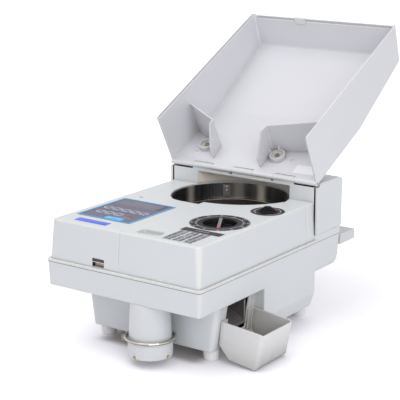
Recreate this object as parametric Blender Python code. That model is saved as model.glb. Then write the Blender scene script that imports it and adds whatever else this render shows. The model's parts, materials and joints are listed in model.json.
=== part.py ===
"""Heavy duty coin counter with an open inspection tray, a turning disc and a coin box.

Frame while modelling: x across the machine, to the right as seen from the front,
y from the front of the ridge to the rear, z up from the floor. At the end the whole
model moves so that its origin is at the middle of the foot of its bounding box.
The tray is modelled closed, as the lid of the machine, and its hinge empty opens it.
"""
import math

import bmesh
import bpy
import numpy as np
from mathutils import Matrix, Vector

# General clearances, in metres like every length here.
GAP = 0.0003
CUT = 0.002
MERGE = 0.00001
ROUND_STEPS = 3
BOWL_STEPS = 56
CIRCLE_STEPS = 32
SMALL_STEPS = 16
SCREW_STEPS = 10

# Ridge and pan of the lower casing.
WIDTH = 0.315
FRONT_DEPTH = 0.3519
TOWER_DEPTH = 0.0868
RIDGE_Z = 0.1531
TOWER_SEAM_Z = 0.1614
SKIRT_Z = 0.1073
SKIRT_INSET = 0.0030
BEAD_HEIGHT = 0.0040
BEAD_INSET = 0.0007
WALL = 0.0030
CORNER = 0.0080
SHELF_WIDTH = 0.0170
SHELF_THICK = 0.0035
OVERHANG_Z = 0.0930
OVERHANG_BAND = 0.0090
OVERHANG_INSET = 0.0035

# Lower body, side blocks and feet.
BODY_Z = 0.0211
BODY_FRONT = 0.0804
BODY_REAR_REACH = 0.0411
BODY_REAR = FRONT_DEPTH + BODY_REAR_REACH
BODY_LOW_INSET = 0.0332
BODY_HIGH_INSET = 0.0205
BODY_HALF_LOW = WIDTH / 2 - BODY_LOW_INSET
BODY_HALF_HIGH = WIDTH / 2 - BODY_HIGH_INSET
BLOCK_INSET = 0.0030
BLOCK_HALF = WIDTH / 2 - BLOCK_INSET
BLOCK_FRONT_REACH = 0.2030
BLOCK_REAR_REACH = 0.0340
BLOCK_FRONT = BODY_REAR - BLOCK_FRONT_REACH
BLOCK_REAR = BODY_REAR - BLOCK_REAR_REACH
BLOCK_BAND_Z = 0.0565
BLOCK_LOW_Z = 0.0310
BLOCK_LOW_INSET = 0.0115
BLOCK_LOW_HALF = WIDTH / 2 - BLOCK_LOW_INSET
PLATE_THICK = 0.0028
FOOT_SIDE_INSET = 0.0168
FOOT_FRONT_INSET = 0.0236
FOOT_REAR_INSET = 0.0165
FOOT_X = BODY_HALF_LOW - FOOT_SIDE_INSET
FOOT_FRONT_Y = BODY_FRONT + FOOT_FRONT_INSET
FOOT_REAR_Y = BODY_REAR - FOOT_REAR_INSET
FOOT_RADIUS_LOW = 0.0128
FOOT_RADIUS_HIGH = 0.0150
FOOT_ROUND = 0.0012
FOOT_BORE = 0.0050
FOOT_BORE_DEPTH = 0.0080
VENT_COUNT = 7
VENT_LENGTH = 0.0500
VENT_WIDTH = 0.0050
VENT_PITCH = 0.0120
VENT_Y = 0.1500

# Deck casing, with its removable right part.
DECK_Z = 0.2199
DECK_INSET_X = 0.0077
DECK_INSET_Y = 0.00955
DECK_FOOT_INSET = 0.0043
DECK_ROUND = 0.0016
SEAM_X = -0.0070
SEAM_CLEAR = 0.0404
REAR_JOINT = 0.0004
BOWL_X = 0.0021
BOWL_Y = 0.3132
BOWL_RADIUS = 0.1060
BOWL_FLAT = 0.0203
BOWL_CHORD_Y = BOWL_Y - BOWL_RADIUS + BOWL_FLAT
BOWL_BLEND = 0.0040
COVER_EDGE_X = -0.0135
COVER_EDGE_Y = 0.3722
COVER_EDGE_MARGIN = 0.0219
COVER_EDGE_RADIUS = BOWL_RADIUS + COVER_EDGE_MARGIN
GRIP_X = 0.0355
GRIP_Y = 0.0370
GRIP_LENGTH = 0.0450
GRIP_WIDTH = 0.0260
GRIP_DEPTH = 0.0080
GRIP_CORNER = 0.0060
CATCH_X = -0.04875
CATCH_WIDTH = 0.0245
CATCH_LOW_Z = 0.1541
CATCH_HIGH_Z = 0.1684
CATCH_DEPTH = 0.0110
SPRING_THICK = 0.0008
SPRING_BOW = 0.0022

# Control panel and keys.
PANEL_EDGE = 0.0138
PANEL_SEAM = 0.0170
PANEL_WIDTH = WIDTH / 2 - DECK_INSET_X - PANEL_EDGE - PANEL_SEAM + SEAM_X
PANEL_X = SEAM_X - PANEL_SEAM - PANEL_WIDTH / 2
PANEL_Y = 0.1210
PANEL_LENGTH = 0.1300
PANEL_THICK = 0.0012
PANEL_POCKET = 0.0010
PANEL_CORNER = 0.0020
WINDOW_BACK = 0.0410
WINDOW_Y = PANEL_Y + WINDOW_BACK
WINDOW_MARGIN = 0.0080
WINDOW_WIDTH = PANEL_WIDTH - 2 * WINDOW_MARGIN
WINDOW_LENGTH = 0.0300
KEY_TALL = 0.0060
KEY_PROUD = 0.0008
KEY_TRAVEL = 0.0006
KEY_CORNER = 0.0015
TOP_ROW_KEYS = 5
LOW_ROW_KEYS = 3
ROW_MARGIN = 0.0085
KEY_SPACING = 0.0050
KEY_PITCH = (PANEL_WIDTH - 2 * ROW_MARGIN) / TOP_ROW_KEYS
KEY_LENGTH = 0.0105
KEY_SIZE = (KEY_PITCH - KEY_SPACING, KEY_LENGTH)
TOP_ROW_FRONT = 0.0010
TOP_ROW_Y = PANEL_Y - TOP_ROW_FRONT
LOW_ROW_SHARE = 0.71
LOW_ROW_FRONT = 0.0285
LOW_ROW_X = PANEL_X - KEY_PITCH * LOW_ROW_SHARE
LOW_ROW_Y = PANEL_Y - LOW_ROW_FRONT
STOP_SHARE = 1.63
STOP_FRONT = 0.0310
STOP_TRIM = 0.0020
STOP_KEY = (PANEL_X + KEY_PITCH * STOP_SHARE, PANEL_Y - STOP_FRONT)
STOP_SIZE = (KEY_SIZE[0] - STOP_TRIM, KEY_LENGTH - STOP_TRIM / 4)
START_SHARE = 0.79
START_FRONT = 0.0530
START_TRIM = 0.0020
START_LENGTH = 0.0125
START_KEY = (PANEL_X + KEY_PITCH * START_SHARE, PANEL_Y - START_FRONT)
START_SIZE = (2 * KEY_PITCH - START_TRIM, START_LENGTH)
BOARD_THICK = 0.0016
BOARD_MARGIN = 0.0040
BOARD_POST = 0.0035

# Dials.
DENOMINATION_MARGIN = 0.0072
DENOMINATION_RADIUS = 0.0506
DENOMINATION_X = WIDTH / 2 - DECK_INSET_X - DENOMINATION_MARGIN - DENOMINATION_RADIUS
DENOMINATION_Y = 0.1488
DENOMINATION_KNOB = 0.0375
DENOMINATION_DISH = 0.0290
DENOMINATION_DEPTH = 0.0150
DISH_DEPTH = 0.0095
GRIP_BAR = 0.0052
GRIP_BAR_ANGLE = -60.0
THICKNESS_MARGIN = 0.0035
THICKNESS_RADIUS = 0.0292
THICKNESS_X = WIDTH / 2 - DECK_INSET_X - THICKNESS_MARGIN - THICKNESS_RADIUS
THICKNESS_Y = 0.2554
SEAM_Y = THICKNESS_Y + THICKNESS_RADIUS + SEAM_CLEAR
THICKNESS_KNOB = 0.0205
THICKNESS_DEPTH = 0.0100
KNOB_RISE = 0.0090
KNOB_BAR = 0.0110
KNOB_BAR_ANGLE = 17.0
KNOB_BAR_SHARES = ((0.0, 0.92, 0.5), (0.6, 0.55, 0.36), (1.0, 0.22, 0.2))
DIAL_FLANGE = 0.0012
DIAL_SEAT = 0.0028
DIAL_WALL = 0.0025
DIAL_LINE = 0.0002
KNOB_SHAFT = 0.0040

# Rear tower and ledge.
TOWER_Z = 0.2524
TOWER_ROUND = 0.0100
CHEEK = 0.0042
SLOT_WIDTH = 0.0033
SLOT_DEPTH = 0.0100
RECESS_Z = 0.2430
LEDGE_DEPTH = 0.0526
LEDGE_LOW_Z = 0.1259
LEDGE_HIGH_Z = 0.1439
LEDGE_ROUND = 0.0040

# Tray and its hinge. Tray sizes are those of the closed lid.
HINGE_BACK = 0.0016
HINGE_Y = FRONT_DEPTH + HINGE_BACK
HINGE_Z = 0.2536
TRAY_ANGLE = 153.1
BARREL_RADIUS = 0.0042
BARREL_DROP = 0.0030
RAMP_LENGTH = 0.0180
NOTCH_REACH = 0.0046
TONGUE_REACH = 0.0064
TONGUE_THICK = 0.0030
PIN_RADIUS = 0.0020
LUG_WIDTH = 0.0430
LUG_SPREAD = 0.0870
LUG_GAP = 0.0005
COVE = 0.0095
TRAY_RIM_Z = 0.1537
TRAY_WALL = 0.0028
TRAY_DRAFT = 0.0022
TRAY_FRONT_OVER = 0.0030
TRAY_FRONT_LEAN = 0.0055
TRAY_FRONT_Z = 0.2258
TRAY_KINK_Y = 0.1897
TRAY_FLOOR_Z = 0.2557
RIM_STEP = 0.0013
RIM_STEP_HEIGHT = 0.0045
PEG_RADIUS = 0.0022
PEG_HEIGHT = 0.0050

# Coin guides in the tray: wall end, corner, mouth end and boss, with y from the hinge.
GUIDE_END_INSET = 0.0060
LEFT_END_FRONT = 0.0915
RIGHT_END_FRONT = 0.0935
LEFT_GUIDE_PLACES = ((-0.0840, -0.0615), (-0.0780, -0.0245))
RIGHT_GUIDE_PLACES = ((0.0300, -0.0645), (0.0270, -0.0195))
BOSS_PLACES = ((-0.1090, -0.0535), (0.0465, -0.0515))
PEG_PLACES = ((-0.1230, -0.0365), (0.0750, -0.0495))
GUIDE_WALL = 0.0026
GUIDE_TALL_WALL = 0.0660
GUIDE_TALL_CORNER = 0.0600
MOUTH_PLATE_SHARES = ((0, 0), (0, 1), (0.4, 1), (1.05, 0.3), (1, 0))
FIN_REACH_SHARES = (0.1, 0.9)
BOSS_RADIUS = 0.0150
BOSS_TALL = 0.0080
BOSS_RECESS = 0.0115
BOSS_RECESS_DEPTH = 0.0040
FIN_THICK = 0.0020
FIN_TALL = 0.0150
SCREW_HEAD = 0.0042
SCREW_HEAD_TALL = 0.0022
SCREW_SHANK = 0.0020
SCREW_SLOT = 0.0010
LATCH_WIDTH = 0.0235
LATCH_TALL = 0.0130
LATCH_THICK = 0.0026

# Bowl, disc and drive.
RING_THICK = 0.0015
EXIT_START = -66.0
EXIT_END = -15.0
STRAP_WIDTH = 0.0140
STRAP_ANGLE = 128.0
STRAP_HEAD = 0.0022
RIVET_Z = 0.2063
RIVET_PITCH = 0.0068
DISC_CLEAR = 0.0050
DISC_RADIUS = BOWL_RADIUS - DISC_CLEAR
DISC_LOW_Z = 0.1825
DISC_THICK = 0.0045
DISC_RIM = 0.0240
DISC_STEP = 0.0012
CAP_RADIUS = 0.0220
CAP_TALL = 0.0090
SHAFT_RADIUS = 0.0060
CHASSIS_Z = 0.1780
CHASSIS_THICK = 0.0025
CHASSIS_MARGIN = 0.0030
CHASSIS_FRONT = 0.0200
POST_RADIUS = 0.0035
BEARING_RADIUS = 0.0220
BEARING_TALL = 0.0180
PULLEY_RADIUS = 0.0360
PULLEY_TALL = 0.0110
PULLEY_FLANGE = 0.0015
PULLEY_Z = 0.1400
BELT_THICK = 0.0018
MOTOR_X = -0.0700
MOTOR_Y = 0.2000
MOTOR_RADIUS = 0.0300
MOTOR_TALL = 0.0950
MOTOR_PULLEY = 0.0120
MOTOR_SHAFT = 0.0040

# Coin path.
RAIL_SHIFT = 0.0180
RAIL_X = DENOMINATION_X - RAIL_SHIFT
RAIL_WIDTH = 0.0060
RAIL_FRONT = 0.1000
RAIL_REAR = 0.2200
RAIL_TALL = 0.0085
RAIL_TRAVEL = 0.0140
GATE_SIZE = (0.0180, 0.0140, 0.0060)
GATE_LIFT = 0.0025
GATE_TRAVEL = 0.0040
SENSOR_SHIFT = 0.0030
SENSOR_X = DENOMINATION_X + SENSOR_SHIFT
SENSOR_Y = 0.0860
SENSOR_SPAN = 0.0500
SENSOR_WIDTH = 0.0140
SENSOR_TALL = 0.0200
SENSOR_WALL = 0.0050

# Bag outlet.
OUTLET_X = 0.0340
OUTLET_Y = 0.0350
CONE_HIGH_RADIUS = 0.0325
CONE_LOW_RADIUS = 0.0357
CONE_LOW_Z = 0.0425
CONE_WALL = 0.0024
CONE_NECK = 0.0265
CONE_FLANGE = 0.0285
CONE_FLANGE_THICK = 0.0025
COLLAR_RADIUS = 0.0370
COLLAR_LOW_Z = 0.0150
COLLAR_LIP = 0.0080
COLLAR_FLANGE = 0.0405
COLLAR_FLANGE_THICK = 0.0020
INSERT_RADIUS = 0.0052
INSERT_BORE = 0.0022
INSERT_PROUD = 0.0012
INSERT_COUNT = 4
INSERT_TURN = -5.0
RING_WIRE = 0.0025
RING_WIRE_RADIUS = 0.0412

# Coin box, its opening and its chute, with x from the side of the body.
OPENING_FRONT = 0.1092
OPENING_REAR = 0.1735
OPENING_LOW_Z = 0.0400
BOX_FRONT = 0.0950
BOX_REAR = 0.1880
BOX_WALL = 0.0022
BOX_RIM_PLACES = ((-0.0044, 0.0727), (0.0760, 0.0643))
BOX_FOOT_PLACES = ((-0.0085, 0.0315), (0.0109, 0.0104), (0.0645, 0.0024))
BOX_CORNER = 0.0070
BOX_NOTCH_FRONT = 0.1120
BOX_NOTCH_REAR = 0.1740
BOX_NOTCH_Z = 0.0380
CHUTE_WALL = 0.0020
CHUTE_INNER_X = 0.0600
CHUTE_HIGH_Z = 0.0840
CHUTE_LOW_Z = 0.0480

# Electrics.
SUPPLY_SIZE = (0.0800, 0.0700, 0.0450)
SUPPLY_SIDE = 0.0975
SUPPLY_X = SUPPLY_SIDE - WIDTH / 2
SUPPLY_FRONT = 0.0630
SUPPLY_CENTRE = (SUPPLY_X, BODY_REAR - SUPPLY_FRONT)
INLET_SIDE = 0.0525
INLET_X = INLET_SIDE - WIDTH / 2
INLET_Z = 0.1110
INLET_SIZE = (0.0270, 0.0190)
INLET_FLANGE = 0.0020
INLET_DEEP = 0.0220
INLET_POCKET = 0.0150
PRONG_RADIUS = 0.0012
SWITCH_SHIFT = 0.0350
SWITCH_X = INLET_X + SWITCH_SHIFT
SWITCH_SIZE = (0.0140, 0.0190)
SWITCH_TILT = 12.0

# Derived places.
HALF = WIDTH / 2
TOTAL_DEPTH = FRONT_DEPTH + TOWER_DEPTH
DECK_HALF = HALF - DECK_INSET_X
DECK_UNDER = DECK_Z - WALL
DISC_TOP = DISC_LOW_Z + DISC_THICK
CHASSIS_TOP = CHASSIS_Z + CHASSIS_THICK
RING_LOW_Z = CHASSIS_TOP + GAP
RING_HIGH_Z = DECK_UNDER - GAP
RING_OUTER = BOWL_RADIUS - GAP
TRAY_INNER_Z = TRAY_FLOOR_Z - TRAY_WALL
PLATE_TOP = BODY_Z + GAP + PLATE_THICK
LUG_CENTRES = (-LUG_SPREAD, 0.0, LUG_SPREAD)
BOX_RIM = [(BODY_HALF_HIGH + x, z) for x, z in BOX_RIM_PLACES]
BOX_FOOT = [(BODY_HALF_HIGH + x, z) for x, z in BOX_FOOT_PLACES]
LEFT_GUIDE = [(GUIDE_END_INSET - HALF, HINGE_Y - LEFT_END_FRONT)]
LEFT_GUIDE += [(x, HINGE_Y + y) for x, y in LEFT_GUIDE_PLACES]
RIGHT_GUIDE = [(HALF - GUIDE_END_INSET, HINGE_Y - RIGHT_END_FRONT)]
RIGHT_GUIDE += [(x, HINGE_Y + y) for x, y in RIGHT_GUIDE_PLACES]
LEFT_BOSS, RIGHT_BOSS = [(x, HINGE_Y + y) for x, y in BOSS_PLACES]
LEFT_PEG, RIGHT_PEG = [(x, HINGE_Y + y) for x, y in PEG_PLACES]

# Paint and surface of each material: colour, roughness and metallic value.
FINISHES = {
    "light_shell": ((0.74, 0.76, 0.78), 0.45, 0.0),
    "tray_shell": ((0.78, 0.78, 0.81), 0.42, 0.0),
    "body_shell": ((0.66, 0.67, 0.70), 0.5, 0.0),
    "white_rubber": ((0.86, 0.86, 0.84), 0.7, 0.0),
    "steel": ((0.52, 0.51, 0.49), 0.28, 1.0),
    "chrome": ((0.72, 0.71, 0.70), 0.12, 1.0),
    "brass": ((0.72, 0.52, 0.24), 0.35, 1.0),
    "zinc_plate": ((0.55, 0.56, 0.58), 0.45, 1.0),
    "dark_rubber": ((0.03, 0.03, 0.03), 0.75, 0.0),
    "black_plastic": ((0.02, 0.02, 0.025), 0.35, 0.0),
    "dial_grey": ((0.07, 0.065, 0.065), 0.4, 0.0),
    "panel_film": ((0.16, 0.14, 0.19), 0.35, 0.0),
    "window_film": ((0.06, 0.06, 0.08), 0.12, 0.0),
    "key_grey": ((0.30, 0.29, 0.36), 0.4, 0.0),
    "key_red": ((0.35, 0.10, 0.12), 0.4, 0.0),
    "key_blue": ((0.10, 0.58, 0.92), 0.4, 0.0),
    "board_green": ((0.03, 0.22, 0.10), 0.5, 0.0),
}


def clear_scene():
    """Remove every object that the scene holds."""
    for item in list(bpy.data.objects):
        bpy.data.objects.remove(item, do_unlink=True)


def make_materials():
    """Make one Principled material for each finish."""
    for name, (colour, roughness, metallic) in FINISHES.items():
        material = bpy.data.materials.new(name)
        material.use_nodes = True
        shader = material.node_tree.nodes["Principled BSDF"]
        shader.inputs["Base Color"].default_value = (*colour, 1.0)
        shader.inputs["Roughness"].default_value = roughness
        shader.inputs["Metallic"].default_value = metallic
        material.diffuse_color = (*colour, 1.0)


def solid(name, bm, finish=None):
    """Turn a bmesh into an object with its faces pointing out."""
    bmesh.ops.remove_doubles(bm, verts=bm.verts, dist=MERGE)
    bmesh.ops.recalc_face_normals(bm, faces=bm.faces)
    mesh = bpy.data.meshes.new(name)
    bm.to_mesh(mesh)
    bm.free()
    item = bpy.data.objects.new(name, mesh)
    bpy.context.scene.collection.objects.link(item)
    if finish:
        mesh.materials.append(bpy.data.materials[finish])
    return item


def bake(item):
    """Apply an object's modifiers."""
    graph = bpy.context.evaluated_depsgraph_get()
    mesh = bpy.data.meshes.new_from_object(item.evaluated_get(graph))
    old = item.data
    item.modifiers.clear()
    item.data = mesh
    bpy.data.meshes.remove(old)


def combine(item, others, operation):
    """Join, cut or intersect an object with others, which are used up."""
    for other in others:
        other.hide_render = True
        other.display_type = "WIRE"
        step = item.modifiers.new(operation.lower(), "BOOLEAN")
        step.operation = operation
        step.solver = "EXACT"
        step.object = other
        bake(item)
        bpy.data.objects.remove(other, do_unlink=True)
    return item


def join(item, *others):
    """Unite solids that overlap into one closed body."""
    return combine(item, others, "UNION")


def cut(item, *others):
    """Take solids away from an object."""
    return combine(item, others, "DIFFERENCE")


def keep(item, other):
    """Keep only what lies inside another solid."""
    return combine(item, [other], "INTERSECT")


def loft(name, loops, finish=None):
    """A solid through loops of equally many points, closed at both ends."""
    bm = bmesh.new()
    rows = [[bm.verts.new(point) for point in loop] for loop in loops]
    count = len(rows[0])
    for low, high in zip(rows, rows[1:]):
        for i in range(count):
            j = (i + 1) % count
            bm.faces.new((low[i], low[j], high[j], high[i]))
    bm.faces.new(rows[0])
    bm.faces.new(rows[-1])
    return solid(name, bm, finish)


def extrude(name, outline, low, high, axis="z", finish=None):
    """A prism of a flat outline, given in the two axes that follow in x, y, z order."""
    def point(a, b, c):
        return {"x": (c, a, b), "y": (a, c, b), "z": (a, b, c)}[axis]
    return loft(name, [[point(a, b, c) for a, b in outline] for c in (low, high)], finish)


def block(name, x, y, z, finish=None):
    """A plain box between two values on each axis."""
    outline = [(x[0], y[0]), (x[1], y[0]), (x[1], y[1]), (x[0], y[1])]
    return extrude(name, outline, z[0], z[1], "z", finish)


def rounded(x, y, radii, steps=ROUND_STEPS):
    """A rectangle with its own radius at each corner, from the front left and round."""
    corners = ((0, 0, 180), (1, 0, 270), (1, 1, 0), (0, 1, 90))
    points = []
    for (i, j, start), radius in zip(corners, radii):
        cx = x[i] + (radius if i == 0 else -radius)
        cy = y[j] + (radius if j == 0 else -radius)
        for k in range(steps + 1):
            angle = math.radians(start + 90 * k / steps)
            points.append((cx + radius * math.cos(angle), cy + radius * math.sin(angle)))
    return points


def at_height(outline, z):
    """The outline as points in space."""
    return [(a, b, z) for a, b in outline]


def circle(x, y, radius, steps=CIRCLE_STEPS):
    """Points round a circle."""
    angles = np.linspace(0, 2 * math.pi, steps, endpoint=False)
    return [(x + radius * math.cos(a), y + radius * math.sin(a)) for a in angles]


def cylinder(name, x, y, radius, z, steps=CIRCLE_STEPS, finish=None):
    """An upright round bar."""
    return extrude(name, circle(x, y, radius, steps), z[0], z[1], "z", finish)


def turned(name, profile, x=0.0, y=0.0, steps=CIRCLE_STEPS, finish=None):
    """A turned solid: a closed profile of radius and height, spun about an upright axis.

    A profile may touch the axis at its first and last points only.
    """
    bm = bmesh.new()
    verts = [bm.verts.new((x + r, y, z)) for r, z in profile]
    closed = profile[0][0] > 0 or profile[-1][0] > 0
    pairs = list(zip(verts, verts[1:]))
    if closed:
        pairs.append((verts[-1], verts[0]))
    edges = [bm.edges.new(pair) for pair in pairs]
    bmesh.ops.spin(bm, geom=verts + edges, cent=(x, y, 0), axis=(0, 0, 1),
                   angle=2 * math.pi, steps=steps, use_merge=True)
    return solid(name, bm, finish)


def bevel_where(item, width, test, segments=3):
    """Round the edges whose two end points both pass a test."""
    bm = bmesh.new()
    bm.from_mesh(item.data)
    edges = [e for e in bm.edges if all(test(v.co) for v in e.verts)]
    bmesh.ops.bevel(bm, geom=edges, offset=width, segments=segments, profile=0.5,
                    affect="EDGES", clamp_overlap=True)
    bmesh.ops.recalc_face_normals(bm, faces=bm.faces)
    bm.to_mesh(item.data)
    bm.free()
    return item


def place(item, x, y, degrees):
    """Turn a solid about the upright axis and move it to a spot."""
    item.data.transform(Matrix.Translation((x, y, 0)) @ Matrix.Rotation(math.radians(degrees), 4, "Z"))
    return item


def mirrored(item, name):
    """The same solid on the other side of the machine."""
    bm = bmesh.new()
    bm.from_mesh(item.data)
    bmesh.ops.scale(bm, vec=(-1, 1, 1), verts=bm.verts)
    bmesh.ops.reverse_faces(bm, faces=bm.faces)
    mesh = bpy.data.meshes.new(name)
    bm.to_mesh(mesh)
    bm.free()
    other = bpy.data.objects.new(name, mesh)
    bpy.context.scene.collection.objects.link(other)
    return other


def pan_loop(z, inset, front=0.0, radius=CORNER):
    """The pan's outline at a height, drawn in by an inset."""
    x = (-HALF + inset, HALF - inset)
    y = (front + inset, TOTAL_DEPTH - inset)
    rear = max(radius - inset, FOOT_ROUND)
    return at_height(rounded(x, y, (rear, rear, rear, rear)), z)


def body_half(z):
    """Half the width of the lower body, which leans out as it rises."""
    share = (z - BODY_Z) / (SKIRT_Z - BODY_Z)
    return BODY_HALF_LOW + (BODY_HALF_HIGH - BODY_HALF_LOW) * share


def body_loop(z, inset):
    """The lower body's outline at a height."""
    half = body_half(z) - inset
    radius = CORNER - inset
    return at_height(rounded((-half, half), (BODY_FRONT + inset, BODY_REAR - inset),
                             (radius,) * 4), z)


def side_block(inset, inner_half):
    """The block on the right of the lower body, with its drafted foot."""
    high = SKIRT_Z + WALL / 2
    outline = [(inner_half, BLOCK_LOW_Z + inset), (BLOCK_LOW_HALF - inset, BLOCK_LOW_Z + inset),
               (BLOCK_HALF - inset, BLOCK_BAND_Z), (BLOCK_HALF - inset, high), (inner_half, high)]
    piece = extrude("block", outline, BLOCK_FRONT + inset, BLOCK_REAR - inset, "y")
    return bevel_where(piece, CORNER - inset,
                       lambda v: v.x > BLOCK_LOW_HALF - CUT and v.y > BLOCK_REAR - CORNER)


def overhang(inset):
    """The deeper part of the pan behind the lower body."""
    def loop(z, draw):
        x = (-HALF + draw, HALF - draw)
        y = (BLOCK_REAR - CORNER + draw, TOTAL_DEPTH - draw)
        return at_height(rounded(x, y, (FOOT_ROUND, FOOT_ROUND, CORNER - inset, CORNER - inset)), z)
    low = OVERHANG_Z + inset
    band = OVERHANG_Z + OVERHANG_BAND
    high = SKIRT_Z + WALL + inset
    return loft("overhang", [loop(low, SKIRT_INSET + OVERHANG_INSET + inset),
                             loop(band, SKIRT_INSET + inset),
                             loop(high, SKIRT_INSET + inset)])


def make_base_housing():
    """The lower casing: pan with its ridge, lower body, side blocks and deeper rear."""
    bead = RIDGE_Z - BEAD_HEIGHT
    housing = loft("base_housing", [
        pan_loop(SKIRT_Z, SKIRT_INSET),
        pan_loop(bead - BEAD_INSET, BEAD_INSET),
        pan_loop(bead, 0.0),
        pan_loop(RIDGE_Z, 0.0),
    ], "body_shell")
    raised = loft("raised", [pan_loop(bead, 0.0, FRONT_DEPTH), pan_loop(TOWER_SEAM_Z, 0.0, FRONT_DEPTH)])
    lower = loft("lower", [body_loop(BODY_Z, 0.0), body_loop(SKIRT_Z + WALL, 0.0)])
    right = side_block(0.0, body_half(BODY_Z) - CORNER)
    left = mirrored(right, "left_block")
    join(housing, raised, lower, overhang(0.0), right, left)

    pan = loft("pan_hollow", [pan_loop(SKIRT_Z + WALL, SKIRT_INSET + WALL),
                              pan_loop(RIDGE_Z - SHELF_THICK, WALL)])
    mouth_x = (-HALF + SHELF_WIDTH, HALF - SHELF_WIDTH)
    mouth = loft("mouth", [at_height(rounded(mouth_x, (SHELF_WIDTH, FRONT_DEPTH + SHELF_WIDTH),
                                             (CORNER,) * 4), z)
                           for z in (RIDGE_Z - SHELF_THICK - CUT, RIDGE_Z + CUT)])
    rear_mouth = loft("rear_mouth", [pan_loop(RIDGE_Z - SHELF_THICK - CUT, WALL, FRONT_DEPTH),
                                     pan_loop(TOWER_SEAM_Z + CUT, WALL, FRONT_DEPTH)])
    body = loft("body_hollow", [body_loop(BODY_Z - CUT, WALL), body_loop(SKIRT_Z + WALL + CUT, WALL)])
    right_hollow = side_block(WALL, body_half(BODY_Z) - CORNER - WALL)
    left_hollow = mirrored(right_hollow, "left_hollow")
    hollow = join(pan, mouth, rear_mouth, body, overhang(WALL), right_hollow, left_hollow)
    cut(housing, hollow)

    side = block("side_opening", (body_half(BODY_Z) - CORNER - WALL, HALF),
                 (OPENING_FRONT, OPENING_REAR), (OPENING_LOW_Z, SKIRT_Z - GAP))
    outlet = cylinder("outlet_hole", OUTLET_X, OUTLET_Y, CONE_NECK + GAP,
                      (SKIRT_Z - CUT, SKIRT_Z + WALL + CUT))
    rear = (TOTAL_DEPTH - SKIRT_INSET - WALL - CUT, TOTAL_DEPTH + CUT)
    sockets = [block("socket", (x - size[0] / 2 - GAP, x + size[0] / 2 + GAP), rear,
                     (INLET_Z - size[1] / 2 - GAP, INLET_Z + size[1] / 2 + GAP))
               for x, size in ((INLET_X, INLET_SIZE), (SWITCH_X, SWITCH_SIZE))]
    cut(housing, side, outlet, *sockets)
    return housing


def make_base_plate():
    """The flat cover that closes the lower body from below, with its vents."""
    low = BODY_Z + GAP
    plate = loft("base_plate", [body_loop(z, WALL + GAP) for z in (low, PLATE_TOP)], "body_shell")
    half = body_half(BODY_Z) - WALL - 2 * GAP
    depth = (BODY_FRONT + WALL + GAP, BODY_REAR - WALL - GAP)
    keep(plate, block("trim", (-half, half), depth, (low - CUT, PLATE_TOP + CUT)))
    vents = []
    for i in range(VENT_COUNT):
        y = VENT_Y + VENT_PITCH * i
        vents.append(loft("vent", [at_height(rounded((-VENT_LENGTH, VENT_LENGTH),
                                                     (y - VENT_WIDTH / 2, y + VENT_WIDTH / 2),
                                                     (VENT_WIDTH / 2 - GAP,) * 4, 2), z)
                                   for z in (low - CUT, PLATE_TOP + CUT)]))
    return cut(plate, *vents)


def make_feet():
    """Four tapered rubber feet, each with a screw bore from below."""
    profile = [(0, FOOT_BORE_DEPTH), (FOOT_BORE, FOOT_BORE_DEPTH), (FOOT_BORE, 0),
               (FOOT_RADIUS_LOW - FOOT_ROUND, 0), (FOOT_RADIUS_LOW, FOOT_ROUND),
               (FOOT_RADIUS_HIGH, BODY_Z), (0, BODY_Z)]
    feet = []
    for side, x in (("left", -FOOT_X), ("right", FOOT_X)):
        for end, y in (("front", FOOT_FRONT_Y), ("rear", FOOT_REAR_Y)):
            feet.append(turned(f"{end}_{side}_foot", profile, x, y, SMALL_STEPS, "white_rubber"))
    return feet


def deck_loop(z, inset, round_inset=0.0):
    """The deck casing's outline at a height, leaning in as it rises."""
    share = (z - RIDGE_Z) / (DECK_Z - RIDGE_Z)
    draw_x = DECK_FOOT_INSET + (DECK_INSET_X - DECK_FOOT_INSET) * share + inset + round_inset
    draw_y = DECK_FOOT_INSET + (DECK_INSET_Y - DECK_FOOT_INSET) * share + inset + round_inset
    front = max(CORNER - inset - round_inset, FOOT_ROUND)
    rear = FOOT_ROUND
    return at_height(rounded((-HALF + draw_x, HALF - draw_x),
                             (draw_y, FRONT_DEPTH - REAR_JOINT - inset - round_inset),
                             (front, front, rear, rear)), z)


def make_deck_shell(name):
    """The whole deck casing as one open-bottomed shell, before it is parted."""
    shell = loft(name, [deck_loop(RIDGE_Z + GAP, 0.0), deck_loop(DECK_Z - DECK_ROUND, 0.0),
                        deck_loop(DECK_Z, 0.0, DECK_ROUND)], "light_shell")
    hollow = loft("deck_hollow", [deck_loop(RIDGE_Z - CUT, WALL), deck_loop(DECK_UNDER, WALL)])
    return cut(shell, hollow)


def seam_region(gap):
    """The right front part of the deck, which the removable cover fills."""
    return block("seam_region", (SEAM_X - gap, WIDTH), (-WIDTH, SEAM_Y + gap),
                 (RIDGE_Z - CUT, DECK_Z + CUT))


def key_places():
    """Every key: name, centre, size and finish."""
    places = []
    for i in range(TOP_ROW_KEYS):
        x = PANEL_X + KEY_PITCH * (i - (TOP_ROW_KEYS - 1) / 2)
        places.append((f"key_{i + 1}", (x, TOP_ROW_Y), KEY_SIZE, "key_grey"))
    for i in range(LOW_ROW_KEYS):
        x = LOW_ROW_X + KEY_PITCH * (i - (LOW_ROW_KEYS - 1) / 2)
        places.append((f"key_{TOP_ROW_KEYS + i + 1}", (x, LOW_ROW_Y), KEY_SIZE, "key_grey"))
    places.append(("stop_key", STOP_KEY, STOP_SIZE, "key_red"))
    places.append(("start_key", START_KEY, START_SIZE, "key_blue"))
    return places


def pad(name, centre, size, radius, z, finish=None, grow=0.0, steps=2):
    """A flat rounded plate about a centre."""
    x = (centre[0] - size[0] / 2 - grow, centre[0] + size[0] / 2 + grow)
    y = (centre[1] - size[1] / 2 - grow, centre[1] + size[1] / 2 + grow)
    outline = rounded(x, y, (radius + grow,) * 4, steps)
    return extrude(name, outline, z[0], z[1], "z", finish)


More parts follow.
